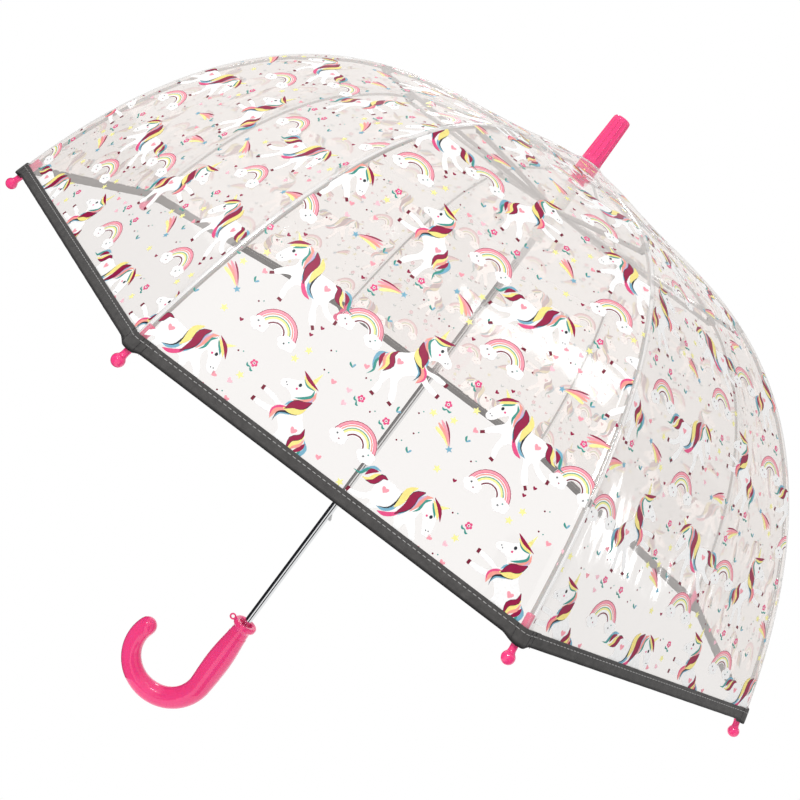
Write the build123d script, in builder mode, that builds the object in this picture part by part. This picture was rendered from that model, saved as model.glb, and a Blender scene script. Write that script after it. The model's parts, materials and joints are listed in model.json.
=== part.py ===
"""A child's dome umbrella, standing open with its shaft upright.

The origin is on the shaft's axis at the middle of the grip, and +Z runs up the shaft to the
ferrule. The hook of the handle reaches towards -X. Eight ribs stand every 45 degrees, and one
clear canopy panel spans each pair of ribs. Each rib and each panel is made in two lengths that
meet at the bend line, where the canopy folds a second time as the umbrella closes.
"""
import os
from math import atan2, cos, degrees, radians, sin, tan

from build123d import *

os.makedirs("parts", exist_ok=True)

# ---- Driving dimensions, in millimetres and degrees --------------------------------------
RIB_COUNT = 8
RIB_STEP = 360 / RIB_COUNT
HALF_STEP = RIB_STEP / 2
FIRST_RIB = HALF_STEP

RIM_RADIUS = 360.0  # from the shaft's axis to a corner of the open rim
RIM_Z = 270.0  # the rim plane, above the middle of the grip
DOME_RISE = 265.0  # from the rim plane to the top of the canopy
FILM = 0.4
PANEL_GAP = 0.3  # between neighbouring panels, where the ribs run

CROWN_START = 0.023  # places along the canopy's curve, from 0 at the crown to 1 at the rim
RIB_JOINS_CANOPY = 0.13
STRETCHER_JOINT = 0.549
BEND_LINE = 0.70

RIB_WIDTH = 2.6
RIB_DEPTH = 2.4  # from the canopy's outer surface to the middle of the rib
RIM_RIB_DEPTH = 3.9  # the same at the rim, where a sleeve covers the rib's end
BEND_GAP = 1.4
CROWN_PIVOT_RADIUS = 9.0
CROWN_PIVOT_Z = RIM_Z + 251.0
EYE_RADIUS = 1.8
EYE_HOLE_RADIUS = 0.75
EYE_WIDTH = 1.8
WIRE_RADIUS = 0.5

JOINT_DROP = 3.4  # from the middle of the rib to the stretcher's rivet
CLAMP_WIDTH = 1.8
STRETCHER_WIDTH = 3.2
STRETCHER_HEIGHT = 3.0
STRETCHER_WALL = 0.45
TONGUE_START = 5.0  # from the runner's pivot, along the stretcher
CHANNEL_START = 10.0
TONGUE_WIDTH = 2.0
RUNNER_PIVOT_RADIUS = 10.5
RUNNER_PIVOT_Z = RIM_Z + 216.0
RIVET_RADIUS = 0.8

SHAFT_RADIUS = 3.2
SHAFT_WALL = 0.5
SHAFT_BOTTOM = -12.0
SHAFT_TOP = RIM_Z + 288.0
RUNNER_CLEARANCE = 0.08

CATCH_WIDTH = 1.2
CATCH_REACH = 5.4  # from the shaft's axis to the catch's nose
CATCH_ROOT = 0.4
TOP_CATCH_LENGTH = 9.0
BOTTOM_CATCH_LENGTH = 7.2
SLOT_MARGIN = 0.3

RUNNER_BOTTOM = RIM_Z + 187.0
RUNNER_TOP = RIM_Z + 239.0
WINDOW_BOTTOM = RIM_Z + 192.5
WINDOW_TOP = RIM_Z + 212.0
WINDOW_WIDTH = 5.0
RUNNER_TRAVEL = 303.0
RUNNER_RADIUS = 6.3
RUNNER_FOOT_RADIUS = 6.9

HANDLE_TOP = 34.5
COLLAR_TOP = 39.0
COLLAR_RADIUS = 11.0
HOOK_RADIUS = 36.0  # of the hook's centreline
HOOK_Z = -33.0
HOOK_SWEEP = 200.0
GRIP_TO_HOOK_RADII = (10.6, 9.9, 9.4, 8.9, 8.6)  # along the hook, grip end first

FERRULE_BOTTOM = RIM_Z + 263.0
FERRULE_TOP = RIM_Z + 307.0
FERRULE_BASE_RADIUS = 9.05
FERRULE_TIP_RADIUS = 7.65
FLUTES = 16

TIP_BALL_RADIUS = 4.25
TIP_STEM_RADIUS = 2.35
TIP_SLEEVE_RADIUS = 2.75
TIP_REACH = 10.0  # from the canopy's corner to the ball's centre
TIP_SLEEVE = 20.0  # from the corner back along the rib

# The canopy's outer curve along a rib is one cubic: (distance from the shaft, height).
CANOPY_CONTROLS = [
    Vector(7.2, RIM_Z + DOME_RISE),
    Vector(46.8, RIM_Z + 213.0),
    Vector(255.2, RIM_Z + 318.2),
    Vector(RIM_RADIUS, RIM_Z),
]


# ---- Places on the canopy ----------------------------------------------------------------
def canopy_point(t, depth=0.0, across=1.0):
    """A point at t on the canopy's curve, moved inwards by depth.

    across is 1 over a rib, and cos(HALF_STEP) in the middle of a panel, which lies nearer
    to the shaft because the panel runs straight from rib to rib.
    """
    points = CANOPY_CONTROLS
    while len(points) > 2:
        points = [a + (b - a) * t for a, b in zip(points, points[1:])]
    direction = (points[1] - points[0]).normalized()
    point = points[0] + (points[1] - points[0]) * t
    inwards = Vector(direction.Y, -direction.X)
    return Vector(point.X * across, point.Y) + inwards * depth


def canopy_line(start, end, depth, across=1.0, steps=8, end_depth=None):
    """Points along the canopy's curve from start to end, from depth to end_depth inside it."""
    deeper = 0.0 if end_depth is None else end_depth - depth
    parts = [i / steps for i in range(steps + 1)]
    return [canopy_point(start + (end - start) * x, depth + deeper * x, across) for x in parts]


def slope_at(t):
    """The unit vector along the canopy's curve at t, towards the rim."""
    return (canopy_point(t + 0.001) - canopy_point(t - 0.001)).normalized()


def radial_plane(angle):
    """The upright plane through the shaft at an angle: x is outwards, y is up."""
    return Plane(origin=(0, 0, 0), x_dir=(cos(radians(angle)), sin(radians(angle)), 0),
                 z_dir=(sin(radians(angle)), -cos(radians(angle)), 0))


def ring_of(part, first_angle):
    """Turns a part made at angle 0 to each of the eight places, as (number, copy)."""
    return [(i + 1, Rot(0, 0, first_angle + i * RIB_STEP) * part) for i in range(RIB_COUNT)]


def write(part, name):
    part.label = name
    export_step(part, f"parts/{name}.step")


SIDE = radial_plane(0)
CROWN_PIVOT = Vector(CROWN_PIVOT_RADIUS, CROWN_PIVOT_Z)
RUNNER_PIVOT = Vector(RUNNER_PIVOT_RADIUS, RUNNER_PIVOT_Z)
JOINT = canopy_point(STRETCHER_JOINT, RIB_DEPTH + JOINT_DROP)
BEND = canopy_point(BEND_LINE, RIB_DEPTH)
RIM_END = canopy_point(1.0, RIM_RIB_DEPTH)


# ---- Ribs ---------------------------------------------------------------------------------
def rib_outline(points):
    """The closed outline of a rib's side, half its width either side of its middle line."""
    half = RIB_WIDTH / 2
    directions = [(b - a).normalized() for a, b in zip(points, points[1:])]
    directions.append(directions[-1])
    normals = [Vector(-d.Y, d.X) for d in directions]
    with BuildLine(SIDE) as outline:
        upper = Spline(*[p + n * half for p, n in zip(points, normals)])
        lower = Spline(*[p - n * half for p, n in zip(points, normals)])
        Line(upper @ 0, lower @ 0)
        Line(upper @ 1, lower @ 1)
    return outline


bend_direction = slope_at(BEND_LINE)
inner_points = [CROWN_PIVOT, canopy_point(RIB_JOINS_CANOPY, RIB_DEPTH)]
inner_points += canopy_line(0.22, BEND_LINE, RIB_DEPTH)[:-1]
inner_points.append(BEND - bend_direction * BEND_GAP / 2)
inner_side = rib_outline(inner_points)

with BuildPart() as rib_inner:
    with BuildSketch(SIDE):
        add(inner_side.line)
        make_face()
    extrude(amount=RIB_WIDTH / 2, both=True)
    # The eye that turns on the crown's wire is thinner than the rib.
    with BuildSketch(SIDE):
        with Locations(CROWN_PIVOT):
            Circle(EYE_RADIUS + 2.4)
    extrude(amount=RIB_WIDTH, both=True, mode=Mode.SUBTRACT)
    with BuildSketch(SIDE):
        with Locations(CROWN_PIVOT):
            Circle(EYE_RADIUS)
        with Locations(CROWN_PIVOT + Vector(2.9, -0.25)):
            Rectangle(5.6, 2.2, rotation=-5)
        with Locations(CROWN_PIVOT):
            Circle(EYE_HOLE_RADIUS, mode=Mode.SUBTRACT)
    extrude(amount=EYE_WIDTH / 2, both=True)
    # The clamp under the rib, with the rivet that carries the stretcher.
    with BuildSketch(SIDE):
        with BuildLine():
            Polyline(JOINT + Vector(-1.6, 0), JOINT + Vector(-3.2, JOINT_DROP),
                     JOINT + Vector(4.4, JOINT_DROP), JOINT + Vector(1.6, 0), close=True)
        make_face()
        with Locations(JOINT):
            Circle(1.6)
    extrude(amount=CLAMP_WIDTH / 2, both=True)
    with BuildSketch(SIDE):
        with Locations(JOINT):
            Circle(RIVET_RADIUS)
    extrude(amount=STRETCHER_WIDTH / 2 + 0.6, both=True)

outer_points = [BEND + bend_direction * BEND_GAP / 2]
outer_points += canopy_line(BEND_LINE, 1.0, RIB_DEPTH, steps=6, end_depth=RIM_RIB_DEPTH)[1:]
outer_side = rib_outline(outer_points)

with BuildPart() as rib_outer:
    with BuildSketch(SIDE):
        add(outer_side.line)
        make_face()
    extrude(amount=RIB_WIDTH / 2, both=True)

# ---- Tip cap: a ball on a stem, with a sleeve over the end of the rib -----------------------
rim_direction = SIDE.from_local_coords(slope_at(0.99))
tip_plane = Plane(origin=SIDE.from_local_coords(RIM_END), x_dir=(0, 1, 0), z_dir=rim_direction)
tip_side = Plane(origin=tip_plane.origin, x_dir=tip_plane.x_dir, z_dir=-tip_plane.y_dir)

with BuildPart() as tip_cap:
    with BuildSketch(tip_side):
        with BuildLine():
            Polyline((0, -TIP_SLEEVE), (TIP_SLEEVE_RADIUS, -TIP_SLEEVE), (TIP_SLEEVE_RADIUS, -1),
                     (TIP_STEM_RADIUS, 1), (TIP_STEM_RADIUS, TIP_REACH), (0, TIP_REACH), close=True)
        make_face()
    revolve(axis=Axis(tip_plane.origin, tip_plane.z_dir))
    with Locations(tip_plane.offset(TIP_REACH)):
        Sphere(TIP_BALL_RADIUS)
    with BuildSketch(tip_plane.offset(-TIP_SLEEVE)):
        Rectangle(RIB_WIDTH + 0.3, RIB_WIDTH + 1.0)
    extrude(amount=TIP_SLEEVE + 0.5, mode=Mode.SUBTRACT)

# ---- Stretcher: a U-channel from the rib's clamp to the runner ------------------------------
reach = JOINT - RUNNER_PIVOT
stretcher_length = reach.length
stretcher_plane = Plane(origin=SIDE.from_local_coords(RUNNER_PIVOT),
                        x_dir=SIDE.from_local_coords(reach.normalized()), z_dir=SIDE.z_dir)

with BuildPart() as stretcher:
    # The tongue stops short of the runner's wire, so that it can swing past the shaft.
    with BuildSketch(stretcher_plane):
        with Locations(((TONGUE_START + CHANNEL_START) / 2 + 1, 0)):
            Rectangle(CHANNEL_START - TONGUE_START + 2, TONGUE_WIDTH)
    extrude(amount=TONGUE_WIDTH / 2, both=True)
    with BuildSketch(stretcher_plane):
        with Locations(((CHANNEL_START + stretcher_length) / 2, 0)):
            Rectangle(stretcher_length - CHANNEL_START, STRETCHER_HEIGHT)
        with Locations((stretcher_length, 0)):
            Circle(STRETCHER_HEIGHT / 2)
    extrude(amount=STRETCHER_WIDTH / 2, both=True)
    # The channel is hollow from below, and its end is a fork that straddles the clamp.
    with BuildSketch(stretcher_plane):
        with Locations(((CHANNEL_START + stretcher_length) / 2 + 2, -STRETCHER_WALL)):
            Rectangle(stretcher_length - CHANNEL_START - 2, STRETCHER_HEIGHT)
        with Locations((stretcher_length, 0)):
            Rectangle(16, 2 * STRETCHER_HEIGHT)
    extrude(amount=STRETCHER_WIDTH / 2 - STRETCHER_WALL, both=True, mode=Mode.SUBTRACT)
    with BuildSketch(stretcher_plane):
        with Locations((stretcher_length, 0)):
            Circle(RIVET_RADIUS + 0.1)
    extrude(amount=STRETCHER_WIDTH, both=True, mode=Mode.SUBTRACT)

# ---- Canopy panels: clear film that runs straight from rib to rib ---------------------------
MID_PANEL = cos(radians(HALF_STEP))


def panel_between(start, end):
    """One length of a canopy panel, centred on angle 0."""
    with BuildPart() as panel:
        with BuildSketch(SIDE):
            with BuildLine():
                outside = Spline(*canopy_line(start, end, 0.0, MID_PANEL))
                inside = Spline(*canopy_line(start, end, FILM, MID_PANEL))
                Line(outside @ 0, inside @ 0)
                Line(outside @ 1, inside @ 1)
            make_face()
        extrude(amount=RIM_RADIUS, both=True)
        # The wedge between two ribs, drawn from above, cuts the panel to its two seams.
        edge = PANEL_GAP / 2 / sin(radians(HALF_STEP))
        far = 2 * RIM_RADIUS
        with BuildSketch():
            with BuildLine():
                Polyline((edge, 0), (edge + far, far * tan(radians(HALF_STEP))),
                         (edge + far, -far * tan(radians(HALF_STEP))), close=True)
            make_face()
        extrude(amount=RIM_Z + RIM_RADIUS, mode=Mode.INTERSECT)
    return panel.part


bend_gap = 0.0004  # along the canopy's curve, so that the two lengths don't touch
panel_inner = panel_between(CROWN_START, BEND_LINE - bend_gap)
panel_outer = panel_between(BEND_LINE + bend_gap, 1.0)

# ---- Crown: the notched hub that carries the ribs, its wire and the washer ------------------
with BuildPart() as crown:
    with BuildSketch(SIDE):
        with BuildLine():
            Polyline((SHAFT_RADIUS, CROWN_PIVOT_Z - 10), (7.0, CROWN_PIVOT_Z - 10),
                     (7.0, CROWN_PIVOT_Z - 5), (6.4, CROWN_PIVOT_Z - 4.4),
                     (6.4, CROWN_PIVOT_Z + 3), (9.0, CROWN_PIVOT_Z + 3.4),
                     (9.0, FERRULE_BOTTOM - 1.2), (SHAFT_RADIUS, FERRULE_BOTTOM - 1.2), close=True)
        make_face()
    revolve(axis=Axis.Z)
    # A lug between each pair of ribs holds the wire.
    with BuildSketch(Plane.XY.offset(CROWN_PIVOT_Z - 2)):
        with PolarLocations(8.0, RIB_COUNT):
            Rectangle(4.2, 2.0)
    extrude(amount=6)
    with BuildSketch(SIDE):
        with Locations(CROWN_PIVOT):
            Circle(WIRE_RADIUS)
    revolve(axis=Axis.Z, mode=Mode.SUBTRACT)

with BuildPart() as crown_wire:
    with BuildSketch(SIDE):
        with Locations(CROWN_PIVOT):
            Circle(WIRE_RADIUS)
    revolve(axis=Axis.Z)

with BuildPart() as canopy_washer:
    with BuildSketch(Plane.XY.offset(FERRULE_BOTTOM - 1.2)):
        Circle(9.0)
        Circle(SHAFT_RADIUS, mode=Mode.SUBTRACT)
    extrude(amount=1.2)

# ---- Ferrule: a fluted cap on the end of the shaft -------------------------------------------
with BuildPart() as ferrule_cap:
    with BuildSketch(SIDE):
        with BuildLine():
            Polyline((0, FERRULE_BOTTOM), (FERRULE_BASE_RADIUS, FERRULE_BOTTOM),
                     (FERRULE_BASE_RADIUS - 0.1, FERRULE_BOTTOM + 3.5),
                     (FERRULE_TIP_RADIUS, FERRULE_TOP - 3))
            ThreePointArc((FERRULE_TIP_RADIUS, FERRULE_TOP - 3),
                          (FERRULE_TIP_RADIUS - 0.9, FERRULE_TOP - 1.2), (4.5, FERRULE_TOP - 0.3))
            Polyline((4.5, FERRULE_TOP - 0.3), (0, FERRULE_TOP), (0, FERRULE_BOTTOM))
        make_face()
    revolve(axis=Axis.Z)
    with BuildSketch(Plane.XY.offset(FERRULE_BOTTOM + 5)):
        with PolarLocations(FERRULE_BASE_RADIUS + 0.35, FLUTES):
            Circle(0.9)
    extrude(amount=FERRULE_TOP - FERRULE_BOTTOM - 9, taper=0, mode=Mode.SUBTRACT)
    with BuildSketch(Plane.XY.offset(FERRULE_BOTTOM)):
        Circle(SHAFT_RADIUS)
    extrude(amount=SHAFT_TOP - FERRULE_BOTTOM, mode=Mode.SUBTRACT)

# ---- Shaft, with a slot for each catch ---------------------------------------------------------
TOP_CATCH_Z = WINDOW_TOP - 0.3
BOTTOM_CATCH_Z = WINDOW_BOTTOM - RUNNER_TRAVEL + 0.3 + BOTTOM_CATCH_LENGTH
CATCHES = {"top_catch": (TOP_CATCH_Z, TOP_CATCH_LENGTH, 1),
           "bottom_catch": (BOTTOM_CATCH_Z, BOTTOM_CATCH_LENGTH, -1)}

with BuildPart() as shaft_tube:
    with BuildSketch(Plane.XY.offset(SHAFT_BOTTOM)):
        Circle(SHAFT_RADIUS)
        Circle(SHAFT_RADIUS - SHAFT_WALL, mode=Mode.SUBTRACT)
    extrude(amount=SHAFT_TOP - SHAFT_BOTTOM)
    for top, length, _ in CATCHES.values():
        with Locations((SHAFT_RADIUS, 0, top - length / 2)):
            Box(SHAFT_RADIUS, CATCH_WIDTH + 2 * SLOT_MARGIN, length + 2 * SLOT_MARGIN,
                mode=Mode.SUBTRACT)


def catch_blade(top, length, square_end):
    """A flat steel catch: one end slopes for the runner to press it in, the other is square."""
    low, high = (top - length, top) if square_end > 0 else (top, top - length)
    with BuildPart() as blade:
        with BuildSketch(SIDE):
            with BuildLine():
                Polyline((CATCH_ROOT, low), (SHAFT_RADIUS - 0.4, low),
                         (CATCH_REACH, high - square_end * 1.6), (CATCH_REACH - 0.3, high),
                         (CATCH_ROOT, high), close=True)
            make_face()
        extrude(amount=CATCH_WIDTH / 2, both=True)
    return blade.part


# ---- Runner: slides on the shaft, with the catch's window and a groove inside it ------------------
with BuildPart() as runner_sleeve:
    bore = SHAFT_RADIUS + RUNNER_CLEARANCE
    with BuildSketch(SIDE):
        with BuildLine():
            Polyline((bore, RUNNER_BOTTOM), (RUNNER_FOOT_RADIUS, RUNNER_BOTTOM),
                     (RUNNER_FOOT_RADIUS, RUNNER_BOTTOM + 3.2),
                     (RUNNER_RADIUS, RUNNER_BOTTOM + 4.6), (RUNNER_RADIUS, RUNNER_PIVOT_Z - 4.6),
                     (8.8, RUNNER_PIVOT_Z - 3.6), (8.8, RUNNER_PIVOT_Z - 0.8),
                     (7.4, RUNNER_PIVOT_Z - 0.8), (7.4, RUNNER_PIVOT_Z + 0.8),
                     (8.8, RUNNER_PIVOT_Z + 0.8), (8.8, RUNNER_PIVOT_Z + 3.2),
                     (RUNNER_RADIUS, RUNNER_PIVOT_Z + 4.2), (RUNNER_RADIUS, RUNNER_TOP - 0.8),
                     (RUNNER_RADIUS - 0.8, RUNNER_TOP), (bore, RUNNER_TOP), close=True)
        make_face()
    revolve(axis=Axis.Z)
    with BuildSketch(SIDE):
        with Locations((RUNNER_RADIUS, (WINDOW_BOTTOM + WINDOW_TOP) / 2)):
            Rectangle(RUNNER_RADIUS, WINDOW_TOP - WINDOW_BOTTOM)
    extrude(amount=WINDOW_WIDTH / 2, both=True, mode=Mode.SUBTRACT)
    with BuildSketch(Plane.XY.offset(RUNNER_BOTTOM)):
        with Locations(((CATCH_REACH + SLOT_MARGIN) / 2, 0)):
            Rectangle(CATCH_REACH + SLOT_MARGIN, CATCH_WIDTH + 2 * SLOT_MARGIN)
    extrude(amount=RUNNER_TOP - RUNNER_BOTTOM, mode=Mode.SUBTRACT)

with BuildPart() as runner_wire:
    with BuildSketch(SIDE):
        with Locations((8.1, RUNNER_PIVOT_Z)):
            Circle(WIRE_RADIUS + 0.1)
    revolve(axis=Axis.Z)

# ---- Handle and collar ---------------------------------------------------------------------------
with BuildPart() as hook_handle:
    with BuildSketch(SIDE):
        with BuildLine():
            grip_side = Spline((8.3, HANDLE_TOP), (8.7, HANDLE_TOP - 9), (10.6, 10), (11.5, -6),
                               (GRIP_TO_HOOK_RADII[0], HOOK_Z))
            Polyline(grip_side @ 1, (0, HOOK_Z), (0, HANDLE_TOP), grip_side @ 0)
        make_face()
    revolve(axis=Axis.Z)
    with BuildLine(SIDE) as hook_path:
        CenterArc((-HOOK_RADIUS, HOOK_Z), HOOK_RADIUS, 0, -HOOK_SWEEP)
    hook_line = hook_path.line
    stations = len(GRIP_TO_HOOK_RADII) - 1
    for i, radius in enumerate(GRIP_TO_HOOK_RADII):
        with BuildSketch(Plane(origin=hook_line @ (i / stations), z_dir=hook_line % (i / stations),
                               x_dir=(0, 1, 0))):
            Circle(radius)
    sweep(path=hook_line, multisection=True)
    with Locations(hook_line @ 1):
        Sphere(GRIP_TO_HOOK_RADII[-1])
    with BuildSketch(Plane.XY.offset(SHAFT_BOTTOM)):
        Circle(SHAFT_RADIUS)
    extrude(amount=HANDLE_TOP - SHAFT_BOTTOM, mode=Mode.SUBTRACT)
    with BuildSketch(Plane.XY.offset(HANDLE_TOP - 8)):
        Circle(6.0)
    extrude(amount=8, mode=Mode.SUBTRACT)

with BuildPart() as handle_collar:
    with BuildSketch(SIDE):
        with BuildLine():
            Polyline((SHAFT_RADIUS, HANDLE_TOP - 8), (6.0, HANDLE_TOP - 8), (6.0, HANDLE_TOP),
                     (COLLAR_RADIUS - 0.8, HANDLE_TOP), (COLLAR_RADIUS, HANDLE_TOP + 0.8),
                     (COLLAR_RADIUS, COLLAR_TOP - 1), (COLLAR_RADIUS - 1, COLLAR_TOP),
                     (6.2, COLLAR_TOP), (6.0, COLLAR_TOP - 3), (SHAFT_RADIUS, COLLAR_TOP - 3),
                     close=True)
        make_face()
    revolve(axis=Axis.Z)
    # The eyelet for a wrist cord, on the hook's side.
    with BuildSketch(SIDE):
        with Locations((-COLLAR_RADIUS - 2.2, COLLAR_TOP - 2.8)):
            Circle(3.4)
        with Locations((-COLLAR_RADIUS + 0.2, COLLAR_TOP - 2.6)):
            Rectangle(2.4, 3.4)
        with Locations((-COLLAR_RADIUS - 2.2, COLLAR_TOP - 2.8)):
            Circle(1.6, mode=Mode.SUBTRACT)
    extrude(amount=1.25, both=True)

# ---- Parts that stand alone, then those that stand in a ring ------------------------------------
for name, piece in {
    "shaft_tube": shaft_tube.part,
    "hook_handle": hook_handle.part,
    "handle_collar": handle_collar.part,
    "ferrule_cap": ferrule_cap.part,
    "canopy_washer": canopy_washer.part,
    "crown": crown.part,
    "crown_wire": crown_wire.part,
    "runner_sleeve": runner_sleeve.part,
    "runner_wire": runner_wire.part,
}.items():
    write(piece, name)

for name, (top, length, square_end) in CATCHES.items():
    write(catch_blade(top, length, square_end), name)

for name, piece, first_angle in (
    ("rib_inner", rib_inner.part, FIRST_RIB),
    ("rib_outer", rib_outer.part, FIRST_RIB),
    ("tip_cap", tip_cap.part, FIRST_RIB),
    ("stretcher", stretcher.part, FIRST_RIB),
    ("panel_inner", panel_inner, FIRST_RIB + HALF_STEP),
    ("panel_outer", panel_outer, FIRST_RIB + HALF_STEP),
):
    for number, copy in ring_of(piece, first_angle):
        write(copy, f"{name}_{number}")
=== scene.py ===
"""Looks for a child's clear dome umbrella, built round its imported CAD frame. Units are metres.

Ribs stand at 22.5, 67.5 ... degrees and gore k of the canopy is centred on 45 k degrees. A gore
is a cylinder-like sheet: x runs across it, level, and s runs down it from the crown to the rim.
"""
import json
import math
import random

import bpy
import numpy as np
from mathutils import Matrix, Vector
from mathutils.geometry import tessellate_polygon


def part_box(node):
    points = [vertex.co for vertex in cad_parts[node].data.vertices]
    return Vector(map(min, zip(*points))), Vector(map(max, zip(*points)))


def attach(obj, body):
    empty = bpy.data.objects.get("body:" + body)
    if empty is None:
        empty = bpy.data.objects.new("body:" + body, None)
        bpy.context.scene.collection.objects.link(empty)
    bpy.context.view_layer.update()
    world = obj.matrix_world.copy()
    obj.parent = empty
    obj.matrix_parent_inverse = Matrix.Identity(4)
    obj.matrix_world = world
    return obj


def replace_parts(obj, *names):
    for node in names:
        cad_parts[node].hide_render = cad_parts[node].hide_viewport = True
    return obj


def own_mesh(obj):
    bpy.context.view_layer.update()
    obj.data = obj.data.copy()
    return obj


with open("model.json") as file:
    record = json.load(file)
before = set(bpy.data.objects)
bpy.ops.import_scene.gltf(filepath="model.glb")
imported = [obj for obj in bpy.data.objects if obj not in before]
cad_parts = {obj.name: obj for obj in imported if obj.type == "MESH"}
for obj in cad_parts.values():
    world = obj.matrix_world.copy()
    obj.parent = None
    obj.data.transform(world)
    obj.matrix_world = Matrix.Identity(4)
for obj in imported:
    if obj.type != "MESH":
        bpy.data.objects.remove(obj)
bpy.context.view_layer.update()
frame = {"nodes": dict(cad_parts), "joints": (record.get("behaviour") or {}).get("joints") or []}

MM = 0.001
RIBS = 8
STEP = math.radians(45)
HALF = STEP / 2
NODES = frame["nodes"]
JOINTS = {j["name"]: j for j in frame["joints"]}
UP = Vector((0, 0, 1))


def full_turn(count):
    """That many angles evenly round a circle."""
    return np.linspace(0, 2 * math.pi, count, endpoint=False)


def add_object(name, data):
    obj = bpy.data.objects.new(name, data)
    bpy.context.scene.collection.objects.link(obj)
    return obj


# ---- Camera, stage and light ----
CAMERA_PLACE, CAMERA_LENS = (0.0269, -0.9337, 0.4398), 50.06
CAMERA_WAY, CAMERA_UP = (-0.0379, 0.9854, -0.1662), (-0.6022, 0.1102, 0.7907)
WHITE, WORLD_GREY = (1, 1, 1), 0.57
FLAG_RADIUS, FLAG_TOP = 0.5, 0.42
LIT_POINT = Vector((0, 0, 0.35))


def make_camera():
    data = bpy.data.cameras.new("camera")
    data.lens, data.sensor_width = CAMERA_LENS, 36
    camera = add_object("camera", data)
    back = -Vector(CAMERA_WAY).normalized()
    right = Vector(CAMERA_UP).cross(back).normalized()
    camera.matrix_world = Matrix.Translation(CAMERA_PLACE) @ Matrix(
        (right, back.cross(right), back)).transposed().to_4x4()
    bpy.context.scene.camera = camera


def soft_box(name, place, size, watts):
    """A rectangular light that faces the canopy."""
    light = bpy.data.lights.new(name, "AREA")
    light.shape, light.size, light.size_y, light.energy = "RECTANGLE", size[0], size[1], watts
    lamp = add_object(name, light)
    lamp.location = place
    lamp.rotation_euler = (LIT_POINT - Vector(place)).to_track_quat("-Z", "Y").to_euler()


def grid_faces(rows, columns, first=0, wrap=False):
    """Quads over rows of columns points; wrap joins each row's end to its start."""
    last = columns if wrap else columns - 1
    return [(first + r * columns + c, first + r * columns + (c + 1) % columns,
             first + (r + 1) * columns + (c + 1) % columns, first + (r + 1) * columns + c)
            for r in range(rows - 1) for c in range(last)]


def round_row(radius, z, angles):
    return [(radius * math.cos(a), radius * math.sin(a), z) for a in angles]


def stage_piece(name, points, faces, color):
    """Part of the studio: a mesh that shines in one flat colour."""
    material = bpy.data.materials.new(name)
    material.use_nodes = True
    tree = material.node_tree
    tree.nodes.remove(tree.nodes["Principled BSDF"])
    glow = tree.nodes.new("ShaderNodeEmission")
    glow.inputs["Color"].default_value = (*color, 1)
    glow.inputs["Strength"].default_value = 1
    tree.links.new(glow.outputs[0], tree.nodes["Material Output"].inputs["Surface"])
    mesh = bpy.data.meshes.new(name)
    mesh.from_pydata(points, [], faces)
    mesh.materials.append(material)
    piece = add_object(name, mesh)
    return piece


def dark_flag(name, start, end, low):
    """A curved black card round the shaft, between two directions in degrees, that only mirror
    reflections see: it makes the dark stripes in the chrome."""
    steps = np.radians(np.linspace(start, end, 24))
    points = []
    for radius, z in ((0.06, low + 0.002), (FLAG_RADIUS, low + 0.002), (FLAG_RADIUS, FLAG_TOP)):
        points += round_row(radius, z, steps)
    flag = stage_piece(name, points, grid_faces(3, 24), (0.02, 0.02, 0.024))
    flag.visible_camera = flag.visible_diffuse = flag.visible_shadow = False
    flag.visible_transmission = False


def make_backdrop(radius, low):
    """A white wall all round, seen straight or through the film but not in mirror reflections."""
    turns, rises = 64, np.radians(np.linspace(0, 89, 12))
    angles = full_turn(turns)
    points = []
    for b in rises:
        points += round_row(radius * math.cos(b), low + radius * math.sin(b), angles)
    last = len(points) - turns
    faces = grid_faces(len(rises), turns, wrap=True) + [tuple(range(last, last + turns))]
    wall = stage_piece("backdrop", points, faces, WHITE)
    wall.visible_diffuse = wall.visible_glossy = wall.visible_shadow = False


def make_stage():
    """A shining white floor and wall, under a world that is white in the camera's direction and
    grey elsewhere."""
    radius, low = 9.0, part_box("hook_handle")[0].z - 0.002
    ring = round_row(radius, low, full_turn(96))
    stage_piece("floor", ring, [tuple(range(96))], WHITE)
    make_backdrop(radius, low)
    world = bpy.data.worlds.new("studio")
    world.use_nodes = True
    tree = world.node_tree
    place = tree.nodes.new("ShaderNodeTexCoord")
    facing = tree.nodes.new("ShaderNodeVectorMath")
    facing.operation = "DOT_PRODUCT"
    facing.inputs[1].default_value = CAMERA_WAY
    fade = tree.nodes.new("ShaderNodeMapRange")
    fade.interpolation_type = "SMOOTHSTEP"
    for key, value in (("From Min", 0.5), ("From Max", 0.86), ("To Min", WORLD_GREY),
                       ("To Max", 1.0)):
        fade.inputs[key].default_value = value
    tree.links.new(place.outputs["Generated"], facing.inputs[0])
    tree.links.new(facing.outputs["Value"], fade.inputs[0])
    tree.links.new(fade.outputs[0], tree.nodes["Background"].inputs["Strength"])
    tree.nodes["Background"].inputs["Color"].default_value = (1, 1, 1, 1)
    bpy.context.scene.world = world
    bpy.context.scene.view_settings.view_transform = "Standard"
    soft_box("key", (-1.1, -1.9, 2.0), (0.8, 0.6), 34)
    soft_box("top", (0.05, -1.1, 2.2), (0.34, 0.2), 1.2)
    soft_box("strip", (1.9, 0.22, 1.2), (0.07, 0.8), 1.4)
    soft_box("rim", (-0.7, 1.7, 1.9), (0.4, 0.4), 8)
    dark_flag("flag_left", -112, -238, low)
    dark_flag("flag_right", -76, -42, low)


make_camera()
make_stage()


# ---- The canopy's surface ----
RIM_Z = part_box("panel_outer_2")[0].z
CANOPY_CURVE = ((7.2, 265.0), (46.8, 213.0), (255.2, 318.2), (360.0, 0.0))  # mm: out, above the rim
CROWN_T, BEND_T = 0.0165, 0.70
ROW_GAP = 6.5 * MM
SAG, WAVE, PUCKER = 2.4 * MM, 0.9 * MM, 2.2 * MM  # between the ribs, all over, at the seams
SWELL, SWELL_PLACE = 7.6 * MM, 30 * MM
CORNER_TURN = 14 * MM


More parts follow.
